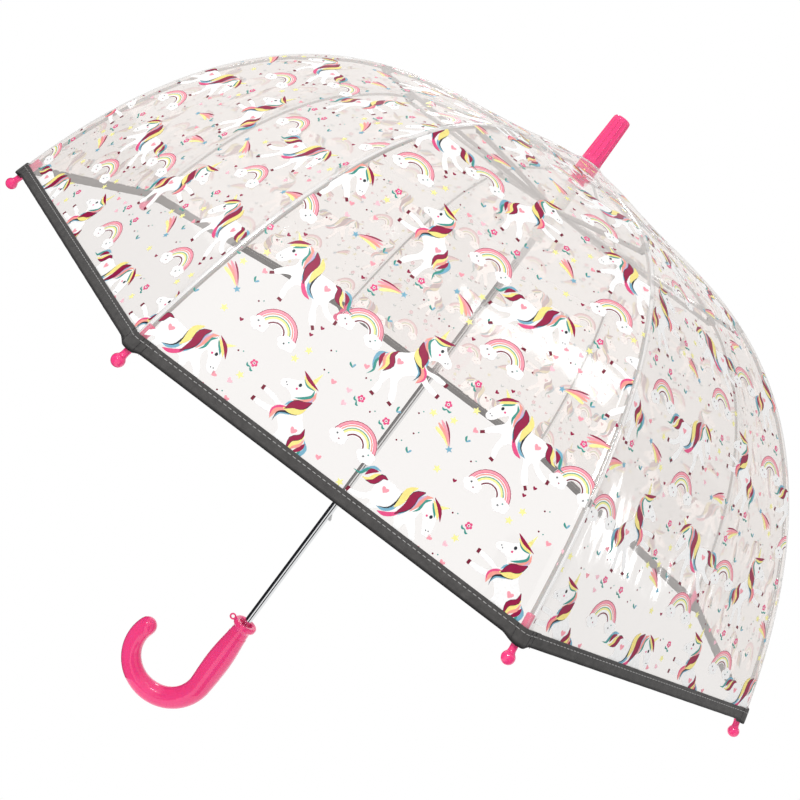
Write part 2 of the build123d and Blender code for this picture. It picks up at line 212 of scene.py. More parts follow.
def crown_swell(out):
    """How far the stretched film stands above the frame's curve, near the crown."""
    x = np.maximum(out - CANOPY_CURVE[0][0] * MM, 0) / SWELL_PLACE
    return SWELL * (x * np.exp(1 - x)) ** 1.5


def canopy(t):
    """Distance from the shaft and height of the canopy's outer surface over a rib."""
    weights = ((1 - t) ** 3, 3 * t * (1 - t) ** 2, 3 * t * t * (1 - t), t ** 3)
    out = sum(w * p[0] for w, p in zip(weights, CANOPY_CURVE)) * MM
    rise = sum(w * p[1] for w, p in zip(weights, CANOPY_CURVE)) * MM
    return out, RIM_Z + rise + crown_swell(out)


def canopy_inwards(t):
    """Unit vector (out, up) square to the canopy's curve, towards the inside."""
    a, b = canopy(t - 0.001), canopy(t + 0.001)
    run, rise = b[0] - a[0], b[1] - a[1]
    length = np.hypot(run, rise)
    return rise / length, -run / length


def inside(t, depth):
    """A point (out, up) that deep under the canopy's curve, over a rib."""
    (out, up), (normal_out, normal_up) = canopy(t), canopy_inwards(t)
    depth = depth + 0.5 * crown_swell(out)
    return out + normal_out * depth, up + normal_up * depth


T_TABLE = np.linspace(CROWN_T, 1.0, 1501)
R_TABLE, Z_TABLE = canopy(T_TABLE)
S_TABLE = np.concatenate([[0], np.cumsum(np.hypot(np.diff(R_TABLE * math.cos(HALF)),
                                                  np.diff(Z_TABLE)))])
S_BEND, S_RIM = float(np.interp(BEND_T, T_TABLE, S_TABLE)), float(S_TABLE[-1])
INNER_ROWS = np.linspace(0, S_BEND, math.ceil(S_BEND / ROW_GAP) + 1)
OUTER_ROWS = np.linspace(S_BEND, S_RIM, math.ceil((S_RIM - S_BEND) / ROW_GAP) + 1)
ROWS = np.concatenate([INNER_ROWS, OUTER_ROWS[1:]])
ROW_T = np.interp(ROWS, S_TABLE, T_TABLE)
ROW_R, ROW_Z = canopy(ROW_T)
ROW_R = ROW_R * math.cos(HALF)
ROW_WIDTH = ROW_R * math.tan(HALF)  # half of the gore's width
ROW_RUN, ROW_RISE = np.gradient(ROW_R, ROWS), np.gradient(ROW_Z, ROWS)
ROW_OUT = -ROW_RISE / np.hypot(ROW_RUN, ROW_RISE)  # square to the film, outwards
ROW_UP = ROW_RUN / np.hypot(ROW_RUN, ROW_RISE)
ROW_SLACK = np.sin(np.pi * ROWS / S_RIM) ** 0.8


def gore_axes(k):
    """Unit vectors straight out through gore k's middle, and level across it."""
    b = k * STEP
    return np.array((math.cos(b), math.sin(b), 0)), np.array((-math.sin(b), math.cos(b), 0))


def on_row(k, row, x, lift):
    """Points of gore k on its rows, raised by lift off the slack film."""
    out, side = gore_axes(k)
    s, slack = ROWS[row], ROW_SLACK[row]
    u = np.clip(x / ROW_WIDTH[row], -1.2, 1.2)
    wave = WAVE * np.sin(x / 0.021 + 1.7 * k) * np.sin(s / 0.026 + 2.3 * k)
    pucker = PUCKER * np.sin(s / 0.0052 + 5 * k + 2 * np.sign(u)) * u ** 6
    height = lift - slack * (SAG + wave + pucker) * (1 - u ** 2)
    return ((ROW_R[row] + ROW_OUT[row] * height)[:, None] * out + x[:, None] * side
            + (ROW_Z[row] + ROW_UP[row] * height)[:, None] * np.array(UP))


def gore_points(k, x, s, lift):
    """Points on gore k, x across it and s down it, raised by lift off its film."""
    x, s, lift = (np.asarray(a, float).ravel() for a in np.broadcast_arrays(x, s, lift))
    row = np.clip(np.searchsorted(ROWS, s, side="right") - 1, 0, len(ROWS) - 2)
    part = ((s - ROWS[row]) / (ROWS[row + 1] - ROWS[row]))[:, None]
    return (1 - part) * on_row(k, row, x, lift) + part * on_row(k, row + 1, x, lift)


def half_width(s):
    """Half of a gore's width, s down it."""
    row = np.clip(np.searchsorted(ROWS, s, side="right") - 1, 0, len(ROWS) - 2)
    part = (s - ROWS[row]) / (ROWS[row + 1] - ROWS[row])
    return (1 - part) * ROW_WIDTH[row] + part * ROW_WIDTH[row + 1]


def corner_points(k, across, s, lift):
    """Points near rib k, measured across it, that turn smoothly from one gore to the next."""
    across, s, lift = (np.asarray(a, float).ravel() for a in np.broadcast_arrays(across, s, lift))
    width = half_width(s)
    share = np.clip(across / CORNER_TURN + 0.5, 0, 1)
    share = (share * share * (3 - 2 * share))[:, None]
    return ((1 - share) * gore_points(k - 1, width + across, s, lift)
            + share * gore_points(k, -width + across, s, lift))


# ---- Materials ----
def linear(red, green, blue):
    """An sRGB colour of 0 to 255 as linear light."""
    return tuple(((c / 255 + 0.055) / 1.055) ** 2.4 if c > 10 else c / 255 / 12.92
                 for c in (red, green, blue))


class Nodes:
    """A material's node tree, with a few short ways to add to it."""

    def __init__(self, name):
        self.material = bpy.data.materials.new(name)
        self.material.use_nodes = True
        self.tree = self.material.node_tree
        self.shader = self.tree.nodes["Principled BSDF"]

    def add(self, kind, **inputs):
        node = self.tree.nodes.new("ShaderNode" + kind)
        for key, value in inputs.items():
            self.put(node, key.replace("_", " ").title(), value)
        return node

    def put(self, node, key, value):
        if isinstance(value, bpy.types.NodeSocket):
            self.tree.links.new(value, node.inputs[key])
        else:
            node.inputs[key].default_value = value

    def set(self, **inputs):
        for key, value in inputs.items():
            self.put(self.shader, key.replace("_", " ").title().replace("Ior", "IOR"), value)

    def noise(self, scale, detail, stretch=None, source="Object"):
        place = self.add("TexCoord").outputs[source]
        if stretch:
            mapping = self.add("Mapping", vector=place)
            mapping.inputs["Scale"].default_value = stretch
            place = mapping.outputs[0]
        return self.add("TexNoise", vector=place, scale=scale, detail=detail).outputs["Fac"]

    def between(self, factor, low, high):
        node = self.add("MapRange", value=factor)
        node.inputs["To Min"].default_value, node.inputs["To Max"].default_value = low, high
        return node.outputs[0]

    def ramp(self, factor, *stops):
        node = self.tree.nodes.new("ShaderNodeValToRGB")
        self.tree.links.new(factor, node.inputs[0])
        points = node.color_ramp.elements
        while len(points) < len(stops):
            points.new(0.5)
        for point, (place, color) in zip(points, stops):
            point.position, point.color = place, (*color, 1)
        return node.outputs[0]

    def bump(self, height, strength, distance):
        node = self.add("Bump", height=height, strength=strength, distance=distance)
        self.put(self.shader, "Normal", node.outputs[0])
        return node.outputs[0]


def shade(color, factor):
    return tuple(min(1.0, c * factor) for c in color)


def moulded_plastic(name, color, roughness=0.2):
    """Glossy moulded plastic: faint flow marks in its colour, orange peel in its surface."""
    n = Nodes(name)
    flow = n.noise(55, 3, (1, 1, 0.4))
    n.set(base_color=n.ramp(flow, (0.3, shade(color, 0.93)), (0.7, shade(color, 1.05))),
          roughness=n.between(n.noise(300, 2), roughness * 0.8, roughness * 1.25),
          specular_ior_level=0.25, subsurface_weight=0.12, subsurface_scale=0.004,
          coat_weight=1.0, coat_roughness=0.02)
    n.bump(n.noise(110, 2), 0.02, 0.0003)
    return n.material


def metal(name, color, roughness, streak):
    n = Nodes(name)
    grain = n.noise(420, 4, streak)
    n.set(metallic=1.0, roughness=n.between(grain, roughness * 0.6, roughness * 1.5),
          base_color=n.ramp(n.noise(70, 4, streak), (0.3, shade(color, 0.86)), (0.7, color)))
    n.bump(grain, 0.06, 0.0002)
    return n.material


def binding_fabric(name, color):
    """A plain tape weave, with its threads along x and s, and painted shade that darkens it to black
    at its folded edge.
    """
    n = Nodes(name)
    place = n.add("TexCoord").outputs["UV"]
    heights = []
    for direction in ("X", "Y"):
        wave = n.add("TexWave", vector=place, scale=620.0, distortion=0.6)
        wave.bands_direction = direction
        heights.append(wave.outputs["Fac"])
    weave = n.add("Math")
    weave.operation = "MULTIPLY"
    n.put(weave, 0, heights[0])
    n.put(weave, 1, heights[1])
    split = n.add("SeparateXYZ", vector=place)
    # Painted shade: the colour runs to near black towards the tape's folded edge at the rim.
    fold = n.add("MapRange", value=split.outputs["Y"])
    fold.inputs["From Min"].default_value = S_RIM - 1.7 * MM
    fold.inputs["From Max"].default_value = S_RIM - 0.2 * MM
    cloth = n.ramp(n.noise(240, 5), (0.3, shade(color, 0.8)), (0.72, shade(color, 1.2)))
    mix = n.tree.nodes.new("ShaderNodeMix")
    mix.data_type = "RGBA"
    n.put(mix, 0, fold.outputs[0])
    n.put(mix, "A", cloth)
    n.put(mix, "B", (0.008, 0.007, 0.008, 1))
    n.set(base_color=mix.outputs["Result"], roughness=0.72, sheen_weight=0.1,
          sheen_roughness=0.4)
    n.bump(weave.outputs[0], 0.5, 0.0003)
    return n.material


def clear_film(name, tint, base, edge, roughness, haze):
    """Thin clear film: tinted light passes straight, and a share from base, face on, to edge,
    at a low angle, is mirrored or scattered by its haze."""
    n = Nodes(name)
    n.set(base_color=(*haze, 1), roughness=n.between(n.noise(60, 3), roughness, roughness * 2.2),
          ior=2.4, specular_ior_level=0.75)
    ripple = n.noise(42, 2, (1.0, 0.35, 1.0), "UV")
    normal = n.bump(ripple, 0.22, 0.0035)
    clear = n.add("BsdfTransparent", color=(*tint, 1))
    weight = n.add("LayerWeight", normal=normal, blend=0.32)
    mix = n.add("MixShader")
    n.put(mix, 0, n.between(weight.outputs["Fresnel"], base, edge))
    n.put(mix, 1, clear.outputs[0])
    n.put(mix, 2, n.shader.outputs[0])
    n.put(n.tree.nodes["Material Output"], "Surface", mix.outputs[0])
    return n.material


def ink(name, color, gloss=0.3, glow=0.0):
    """Screen-printed ink: slightly uneven in depth, with a fine grain. The underprint also
    lets a little of the light behind it through, which glow stands for."""
    n = Nodes(name)
    n.set(emission_color=(*color, 1), emission_strength=glow)
    n.set(base_color=n.ramp(n.noise(700, 3), (0.25, shade(color, 0.9)), (0.75, shade(color, 1.07))),
          roughness=n.between(n.noise(300, 2), gloss, gloss * 1.5), specular_ior_level=0.4)
    return n.material


INKS = {"white": (252, 251, 250), "crimson": (152, 8, 66), "pink": (232, 78, 134),
        "salmon": (246, 160, 146), "yellow": (251, 231, 138), "lemon": (249, 243, 158),
        "rose": (247, 160, 174), "teal": (58, 150, 138), "blue": (120, 176, 200),
        "lilac": (206, 176, 212), "dark": (38, 42, 50), "hoof": (120, 12, 46),
        "blush": (250, 196, 208)}
BACK_TONE = np.array(linear(238, 230, 226))


def ghost_tone(color):
    """How an ink looks from inside, through its white underprint."""
    return tuple(0.3 * c + 0.7 * b * (0.72 if min(color) < 0.7 else 1)
                 for c, b in zip(color, BACK_TONE))


FRONT = {name: ink("ink_" + name, linear(*c)) for name, c in INKS.items()}
BACK = {name: ink("underprint_" + name, ghost_tone(linear(*c)), 0.4, 0.3)
        for name, c in INKS.items()}
PINK = moulded_plastic("pink_plastic", linear(255, 64, 134), 0.28)
CHROME = metal("chrome_tube", (0.80, 0.81, 0.82), 0.07, (1, 1, 0.03))
STEEL = metal("zinc_steel", (0.6, 0.6, 0.6), 0.36, (1, 1, 0.3))
ENAMEL = moulded_plastic("rib_enamel", linear(184, 183, 181), 0.25)
MILKY = moulded_plastic("milky_plastic", linear(240, 238, 234), 0.28)
GREY = binding_fabric("grey_binding", linear(74, 72, 71))
THREAD = ink("stitch_thread", linear(176, 175, 174), 0.6)
SEAM_THREAD = ink("pocket_thread", linear(48, 46, 48), 0.6)
FILM = clear_film("clear_film", tint=(0.965, 0.945, 0.93), base=0.21, edge=0.46, roughness=0.05,
                  haze=(0.86, 0.81, 0.78))
SEAM = clear_film("seam_film", tint=(0.92, 0.91, 0.90), base=0.3, edge=0.6, roughness=0.09,
                  haze=(0.90, 0.88, 0.87))


# ---- Building meshes ----
def make_piece(name, points, faces, materials, body, picks=None, uvs=None):
    mesh = bpy.data.meshes.new(name)
    mesh.from_pydata([tuple(p) for p in points], [], faces)
    for material in materials:
        mesh.materials.append(material)
    if picks is not None:
        mesh.polygons.foreach_set("material_index", picks)
    if uvs is not None:
        layer = mesh.uv_layers.new(name="UVMap")
        corners = np.zeros(len(mesh.loops), np.int32)
        mesh.loops.foreach_get("vertex_index", corners)
        layer.data.foreach_set("uv", np.asarray(uvs, np.float32)[corners].ravel())
    mesh.polygons.foreach_set("use_smooth", [True] * len(mesh.polygons))
    mesh.update()
    obj = add_object(name, mesh)
    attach(obj, body)
    return obj


def closed_tube(rows, columns, first=0):
    """Faces round a tube of rows rings, and its two end caps."""
    last = first + (rows - 1) * columns
    return grid_faces(rows, columns, first, wrap=True) + [
        tuple(reversed(range(first, first + columns))), tuple(range(last, last + columns))]


class Solid:
    """Collects rings of points into one closed mesh."""

    def __init__(self):
        self.points, self.faces = [], []

    def rings(self, rings):
        """A closed tube through rings of equal length, capped at both ends."""
        self.faces += closed_tube(len(rings), len(rings[0]), len(self.points))
        for ring in rings:
            self.points.extend(tuple(p) for p in ring)
        return self

    def lathe(self, origin, axis, profile, around, flute=None):
        """Turns a profile of (radius, height) about an axis; flute changes the radius."""
        axis = Vector(axis).normalized()
        across = axis.orthogonal().normalized()
        other = axis.cross(across)
        rings = []
        for radius, height in profile:
            ring = []
            for i in range(around):
                a = 2 * math.pi * i / around
                r = radius if flute is None else flute(radius, height, a)
                ring.append(Vector(origin) + axis * height
                            + (across * math.cos(a) + other * math.sin(a)) * r)
            rings.append(ring)
        return self.rings(rings)

    def tube(self, path, radius, around=14):
        """A round bar along a path, with rounded ends."""
        path = [Vector(p) for p in path]
        ways = [(path[min(i + 1, len(path) - 1)] - path[max(i - 1, 0)]).normalized()
                for i in range(len(path))]
        side = ways[0].orthogonal().normalized()
        frames = []
        for way in ways:
            side = (side - way * side.dot(way)).normalized()
            frames.append((side.copy(), way.cross(side)))
        stations = [(i, 0.0, 1.0) for i in range(len(path))]
        round_end = [(math.sin(a), math.cos(a)) for a in np.radians((80, 60, 35, 12))]
        stations = ([(0, -back, size) for back, size in round_end] + stations
                    + [(len(path) - 1, ahead, size) for ahead, size in reversed(round_end)])
        rings = []
        for i, ahead, size in stations:
            a, b = frames[i]
            centre = path[i] + ways[i] * (ahead * radius)
            rings.append([centre + (a * math.cos(q) + b * math.sin(q)) * radius * size
                          for q in full_turn(around)])
        return self.rings(rings)

    def piece(self, name, material, body, slot):
        return make_piece(name, self.points, self.faces, [material], body)


def sharpen(obj, degrees=35):
    """Shades edges sharper than that angle crisply and the rest smoothly."""
    obj.data.set_sharp_from_angle(angle=math.radians(degrees))
    return obj


def spline(a, b, c, d, steps):
    """Points of a Catmull-Rom spline from b up to but without c."""
    return [0.5 * (2 * b + (c - a) * t + (2 * a - 5 * b + 4 * c - d) * t * t
                   + (3 * b - a - 3 * c + d) * t ** 3)
            for t in (step / steps for step in range(steps))]


def curve_through(points, steps):
    """A smooth open line through points."""
    p = [Vector(q) for q in points]
    p = [2 * p[0] - p[1], *p, 2 * p[-1] - p[-2]]
    line = []
    for i in range(1, len(p) - 2):
        line += spline(*p[i - 1:i + 3], steps)
    return line + [p[-2]]


# ---- Printed motifs, in millimetres, x across and y up, as (ink, level, outline) ----
CURVE_STEPS = 3  # straight steps from one drawn point to the next


def closed_curve(points):
    p = [Vector(q) for q in points]
    n = len(p)
    line = []
    for i in range(n):
        line += spline(p[i - 1], p[i], p[(i + 1) % n], p[(i + 2) % n], CURVE_STEPS)
    return [(v.x, v.y) for v in line]


def brush(points, width, start=0.1, end=0.06, bulge=0.5):
    """A brush stroke along points: its width swells to the most at bulge along its length."""
    line = curve_through(points, CURVE_STEPS)
    left, right = [], []
    for i, p in enumerate(line):
        way = (line[min(i + 1, len(line) - 1)] - line[max(i - 1, 0)]).normalized()
        t = i / (len(line) - 1)
        rise = t / bulge if t < bulge else (1 - t) / (1 - bulge)
        low = start if t < bulge else end
        half = width / 2 * (low + (1 - low) * math.sin(rise * math.pi / 2))
        left.append((p.x - way.y * half, p.y + way.x * half))
        right.append((p.x + way.y * half, p.y - way.x * half))
    return left + right[::-1]


def disc(x, y, radius, sides, tall=1.0):
    return [(x + radius * math.cos(a), y + radius * tall * math.sin(a))
            for a in full_turn(sides)]


def star(x, y, radius, turn=0.0):
    sizes = (radius, radius * 0.45)
    return [(x + sizes[i % 2] * math.sin(turn + i * math.pi / 5),
             y + sizes[i % 2] * math.cos(turn + i * math.pi / 5)) for i in range(10)]


def heart(x, y, size):
    return [(x + size * 0.5 * math.sin(a) ** 3 * 1.05,
             y + size * (0.42 * math.cos(a) - 0.18 * math.cos(2 * a) - 0.07 * math.cos(3 * a)))
            for a in full_turn(16)]


def hoof(x, y, turn):
    c, s = math.cos(turn), math.sin(turn)
    return [(x + c * a - s * b, y + s * a + c * b)
            for a, b in ((-1.5, -0.9), (1.5, -0.9), (1.3, 0.9), (-1.3, 0.9))]


def lock_fan(lines, start):
    """Neighbouring locks of hair, each a brush stroke of its own ink."""
    return [(color, start + i * 0.25, brush(points, width, bulge=bulge))
            for i, (color, width, bulge, points) in enumerate(lines)]


LEAPER = [
    ("white", 0, closed_curve([
        (1.5, 21), (-3, 20), (-8, 16.5), (-13.5, 14), (-15.5, 11.2), (-13.8, 9), (-9, 9), (-5, 7),
        (-4, 3), (-7, 0.6), (-13, 2.4), (-19.5, 2.8), (-19.6, 0.6), (-13, -0.6), (-8.6, -2.2),
        (-13, -4.6), (-20, -5.4), (-20.6, -7.6), (-13, -8), (-6, -6.4), (-2.6, -9), (0.4, -13),
        (-0.6, -18), (-4.6, -23), (-6.4, -28), (-3.6, -28.6), (0, -23.6), (4.6, -18.6),
        (5.6, -23), (4, -29), (4.6, -31.4), (7.4, -31.2), (8.6, -24), (12.4, -17), (13.6, -10),
        (12, -4), (8, 0), (5.4, 5), (5, 12), (4, 18)])),
    ("hoof", 1, hoof(-20.9, 1.7, 1.6)), ("hoof", 1, hoof(-21.8, -6.6, 1.5)),
    ("hoof", 1, hoof(-5.6, -29.6, 0.1)), ("hoof", 1, hoof(5.8, -32.4, 0.05)),
    ("dark", 1, disc(-5, 15.2, 0.95, 9, 1.2)), ("pink", 1, disc(-5.4, 12.4, 0.7, 8)),
    ("dark", 1, brush([(-12.6, 12.4), (-12.1, 11.6)], 0.7)),
    ("dark", 1, brush([(-11.4, 11.4), (-10.9, 10.6)], 0.7)),
    ("rose", 1, heart(7.6, -7.6, 4.2)),
    ("lemon", 1, [(-1.4, 20.4), (1.6, 20.6), (1.4, 28.6)]),
    ("yellow", 1.5, [(-0.9, 22), (1.5, 22.6), (1.5, 23.6), (-0.5, 23.2)]),
    *lock_fan([
        ("teal", 2.0, 0.4, [(-5, 19.4), (-1, 17.6), (3.4, 17.4)]),
        ("yellow", 2.4, 0.5, [(-6.4, 21), (-1.6, 19), (4.2, 18)]),
        ("crimson", 2.2, 0.5, [(-8, 23.4), (-2.6, 20.8), (5.2, 18.8)])], 1.2),
    *lock_fan([
        ("teal", 1.7, 0.4, [(3.4, 17.6), (4, 13.6), (0, 9.6), (-3.4, 7.6)]),
        ("salmon", 2.2, 0.4, [(4.8, 17.4), (5.6, 12.8), (1.6, 8.6), (-3.6, 6)]),
        ("lilac", 1.7, 0.5, [(5.8, 14), (5, 10), (0.6, 6.6), (-3.6, 4.4)]),
        ("blue", 2.0, 0.6, [(5.6, 10.6), (1.6, 6.8), (-3.2, 4.2), (-5.2, 1)]),
        ("pink", 3.0, 0.6, [(-2.6, 1), (-6.4, -1.4), (-8.6, -5), (-8, -9.4)]),
        ("salmon", 2.6, 0.6, [(-0.6, 0.6), (-4.6, -1.8), (-7.6, -5), (-7.6, -10.2)]),
        ("blue", 1.8, 0.5, [(4, 1.8), (-0.4, -1.4), (-4.8, -4), (-6, -9.4)]),
        ("dark", 1.4, 0.3, [(5.8, 5.2), (3, 0.4), (-2.8, -2), (-6, -5), (-5.4, -10.4)]),
        ("yellow", 4.2, 0.5, [(6, 6.4), (3.4, 2.6), (-1.4, 0.4), (-5, -0.8)]),
        ("dark", 5.3, 0.5, [(6.5, 11.2), (3.6, 7), (-1, 4.4), (-4, -0.8)]),
        ("crimson", 4.7, 0.5, [(6.3, 10.8), (3.4, 7), (-1, 4.2), (-3.8, -0.2)])], 2.0),
    *lock_fan([
        ("blue", 2.4, 0.5, [(16, -8.6), (19.4, -12.4), (18, -18), (15.6, -22)]),
        ("teal", 1.6, 0.4, [(17, -12), (17.4, -17.4), (14.8, -22), (16, -26.6)]),
        ("crimson", 2.6, 0.5, [(17.4, -9.8), (16.8, -13.6), (13.8, -18.4)]),
        ("salmon", 1.8, 0.5, [(15.6, -8), (15.4, -12.4), (12.4, -16), (12.6, -20.6)]),
        ("yellow", 2.4, 0.5, [(14.6, -6.4), (13.8, -11), (11.2, -15), (12.6, -20)]),
        ("dark", 3.4, 0.5, [(12.3, -3.2), (13.1, -8), (9.5, -12.4), (10.6, -18.8)]),
        ("crimson", 2.8, 0.5, [(12.4, -3.4), (13, -8), (9.5, -12.4), (10.4, -18)])], 2.0),
]

WALKER = [
    ("white", 0, closed_curve([
        (16, 13), (12, 12), (7, 8), (0, 5.6), (-8, 6.6), (-13, 6), (-16, 2), (-15, -4),
        (-19, -8), (-24.6, -9.6), (-25.4, -12), (-19, -11.8), (-13, -8.4), (-12.6, -12),
        (-17, -17), (-19, -20.4), (-16.6, -21.8), (-12, -17.6), (-7.4, -10), (0, -8.6), (5, -9.4),
        (6.6, -15), (5, -21), (7.4, -22), (10, -16), (10.6, -8), (14.6, -9.6), (18.6, -13.6),
        (20.8, -12.2), (17.6, -6.6), (14, -1.4), (14.8, 3.4), (18, 0), (20.4, -4.6), (23.4, -6.6),
        (26, -4.8), (25.4, 0.4), (23.4, 6), (21, 10.4)])),
    ("hoof", 1, hoof(-26.4, -10.8, 1.4)), ("hoof", 1, hoof(-19, -22, 0.7)),
    ("hoof", 1, hoof(6.2, -22.8, 0.05)), ("hoof", 1, hoof(20.4, -14.2, -0.8)),
    ("dark", 1, disc(20.6, 4.4, 0.95, 9, 1.2)), ("pink", 1, disc(18.2, 3.6, 0.7, 8)),
    ("dark", 1, brush([(22.2, -3), (22.9, -3.6)], 0.7)),
    ("dark", 1, brush([(23.8, -2.6), (24.4, -3.3)], 0.7)),
    ("rose", 1, heart(-9, 1, 4.2)),
    ("lemon", 1, [(19.2, 11.8), (21.6, 9.6), (26.8, 15.2)]),
    *lock_fan([
        ("teal", 2.0, 0.4, [(16.6, 11.6), (20, 8.6), (22.4, 5)]),
        ("yellow", 2.4, 0.5, [(16.2, 13), (21, 9.6), (24.4, 5.2)]),
        ("crimson", 2.2, 0.5, [(16, 14.6), (22, 10.8), (26.4, 5)])], 1.2),
    *lock_fan([
        ("teal", 1.8, 0.4, [(15.6, 12.4), (12.6, 9), (12.6, 4), (10.6, 0.6)]),
        ("salmon", 2.4, 0.4, [(15.4, 13.8), (11.6, 11), (10.8, 5), (9, -0.4)]),
        ("lilac", 1.8, 0.5, [(12, 13), (9.4, 8), (9, 3), (7.4, -1.6)]),
        ("blue", 2.0, 0.5, [(10.4, 13.4), (8.4, 8), (7.8, 1.4), (4.6, -5), (0, -9.4)]),
        ("pink", 2.6, 0.6, [(5.8, -1.6), (3, -6.6), (-1.6, -10), (-6, -11)]),
        ("blue", 1.8, 0.5, [(1.8, 1.4), (0.4, -4.6), (-3.6, -8.4), (-8, -9)]),
        ("dark", 1.4, 0.3, [(5.2, 12.4), (0.6, 7), (0.2, 0), (-2, -6), (-7.6, -9)]),
        ("yellow", 4.2, 0.5, [(5.4, 13.2), (2, 8.6), (2, 2), (0.6, -4)]),
        ("dark", 5.3, 0.5, [(10.3, 13.6), (6.6, 9), (6.6, 1.4), (3, -6.6)]),
        ("crimson", 4.7, 0.5, [(10, 13.4), (6.6, 8.8), (6.4, 1.4), (3.2, -5.8)])], 2.0),
    *lock_fan([
        ("blue", 2.4, 0.5, [(-17, 8), (-21.4, 7.4), (-24.6, 3.4), (-27, 0.4)]),
        ("teal", 1.6, 0.4, [(-19, 7.2), (-23.8, 4.6), (-26, 0.4), (-30.6, 0)]),
        ("crimson", 2.6, 0.5, [(-18, 7), (-21.6, 5), (-23.4, 1)]),
        ("yellow", 2.4, 0.5, [(-14.8, 7), (-18, 4.4), (-20, 0.4), (-24, -0.8)]),
        ("dark", 3.4, 0.5, [(-11, 6.4), (-14.6, 6), (-17, 0.8), (-21.4, -1.2)]),
        ("crimson", 2.8, 0.5, [(-11.2, 6.4), (-14.6, 5.8), (-17, 0.8), (-20.8, -1)])], 2.0),
]


def arch(radius, width):
    """Half a ring, one band of the rainbow, inwards from radius."""
    angles = np.linspace(0, math.pi, 15)
    return ([(radius * math.cos(a), radius * math.sin(a)) for a in angles]
            + [((radius - width) * math.cos(a), (radius - width) * math.sin(a))
               for a in reversed(angles)])


def cloud(x, y, size):
    return [(x + size * (1 + 0.16 * abs(math.sin(2.5 * a))) * math.cos(a),
             y + size * (0.72 + 0.14 * abs(math.sin(2.5 * a))) * math.sin(a))
            for a in full_turn(25)]


RAINBOW = [("white", 0, arch(14.3, 9.2)),
           ("crimson", 1, arch(14.1, 0.4)), ("rose", 1, arch(13.7, 1.35)),
           ("pink", 1, arch(12.35, 0.35)), ("salmon", 1, arch(11.5, 0.75)),
           ("teal", 1, arch(9.9, 0.5)), ("lemon", 1, arch(9.4, 1.2)),
           ("hoof", 1, arch(6.5, 0.8)),
           ("white", 2, cloud(-9.6, -0.6, 5.2)), ("white", 2, cloud(9.8, -0.6, 5.2)),
           ("dark", 3, star(-11, 0.6, 0.8)), ("crimson", 3, disc(-8.4, -1.6, 0.5, 6)),
           ("teal", 3, disc(10.6, 0.8, 0.5, 6)), ("dark", 3, star(8.6, -1.4, 0.8))]

COMET = [("lemon", 0, brush([(-2, 2), (5, 0.8), (11, -2)], 2.2, 0.05, 0.5, bulge=0.85)),
         ("salmon", 0.2, brush([(-2, 2.4), (6, 2.2), (13, 0.2)], 1.7, 0.05, 0.4, bulge=0.85)),
         ("rose", 0.4, brush([(-2, 2.7), (6, 3.5), (14, 2.4)], 1.7, 0.05, 0.4, bulge=0.85)),
         ("crimson", 0.6, brush([(-2, 3), (6, 4.7), (13, 4.6)], 1.1, 0.05, 0.3, bulge=0.8)),
         ("blue", 1, star(-3.4, 2.2, 2.3, 0.2))]

FLOWER = [("pink", i * 0.1, disc(1.4 * math.cos(a), 1.4 * math.sin(a), 0.95, 8))
          for i, a in enumerate(full_turn(5))]
FLOWER += [("white", 1, disc(0, 0, 0.9, 8)), ("crimson", 1.5, disc(0, 0, 0.5, 6)),
           ("teal", 1, brush([(0, -3), (-1.8, -3.6), (-3, -2.4)], 1.2, 0.4, 0.2)),
           ("teal", 1.1, brush([(0, -3.1), (1.6, -4.2), (2.8, -3.6)], 1.2, 0.4, 0.2))]
SPRIG = [("teal", 0, brush([(0, -1.6), (-1.4, 0.2), (-1.6, 1.6)], 1.3, 0.5, 0.2)),
         ("blue", 0.1, brush([(0, -1.6), (1, 0), (1.8, 0.4)], 1.2, 0.5, 0.2))]
SMALL = {"flower": FLOWER, "sprig": SPRIG, "heart_pink": [("rose", 0, heart(0, 0, 3.4))],
         "heart_crimson": [("crimson", 0, heart(0, 0, 2.5))],
         "star_lemon": [("lemon", 0, star(0, 0, 2.6))],
         "heart_blush": [("blush", 0, heart(0, 0, 3.4))],
         "dots": [("hoof", 0, disc(0, 0, 0.6, 7)), ("teal", 0, disc(2.6, 1.4, 0.45, 6))]}


# ---- The repeat of the print ----
TILE = (152.0, 142.0)
BIG = [(LEAPER, 2, 4, 0.0, 1), (WALKER, 80, 0, 0.0, 1), (LEAPER, 42, 72, 0.15, -1),
       (WALKER, 117, 74, 0.1, -1), (RAINBOW, 41, 10, 0.0, 1), (RAINBOW, 118, 34, 0.0, 1),
       (RAINBOW, 4, 66, 0.0, 1), (RAINBOW, 80, 104, 0.0, 1), (COMET, 36, -22, -0.5, 1),
       (COMET, 82, 42, 0.7, -1), (COMET, 122, -30, 0.3, 1), (COMET, 8, 98, -0.2, -1)]
REACH = {id(LEAPER): 25, id(WALKER): 22, id(RAINBOW): 15, id(COMET): 10}


def tile_motifs():
    """Every motif of one repeat: the large ones as laid out, the small ones in the gaps."""
    rng = random.Random(11)
    placed = list(BIG)
    taken = [(x, y, REACH[id(m)]) for m, x, y, _, _ in BIG]
    names = ["flower"] * 7 + ["sprig"] * 9 + ["heart_pink"] * 8 + ["heart_crimson"] * 8 \
        + ["star_lemon"] * 9 + ["heart_blush"] * 5 + ["dots"] * 16
    for name in names:
        for _ in range(60):
            x, y = rng.uniform(0, TILE[0]), rng.uniform(0, TILE[1])
            gaps = [math.hypot((x - a + TILE[0] / 2) % TILE[0] - TILE[0] / 2,
                               (y - b + TILE[1] / 2) % TILE[1] - TILE[1] / 2) - reach
                    for a, b, reach in taken]
            if min(gaps) > 4.2:
                placed.append((SMALL[name], x, y, rng.uniform(-0.5, 0.5), 1))
                taken.append((x, y, 2.4))
                break
    return placed


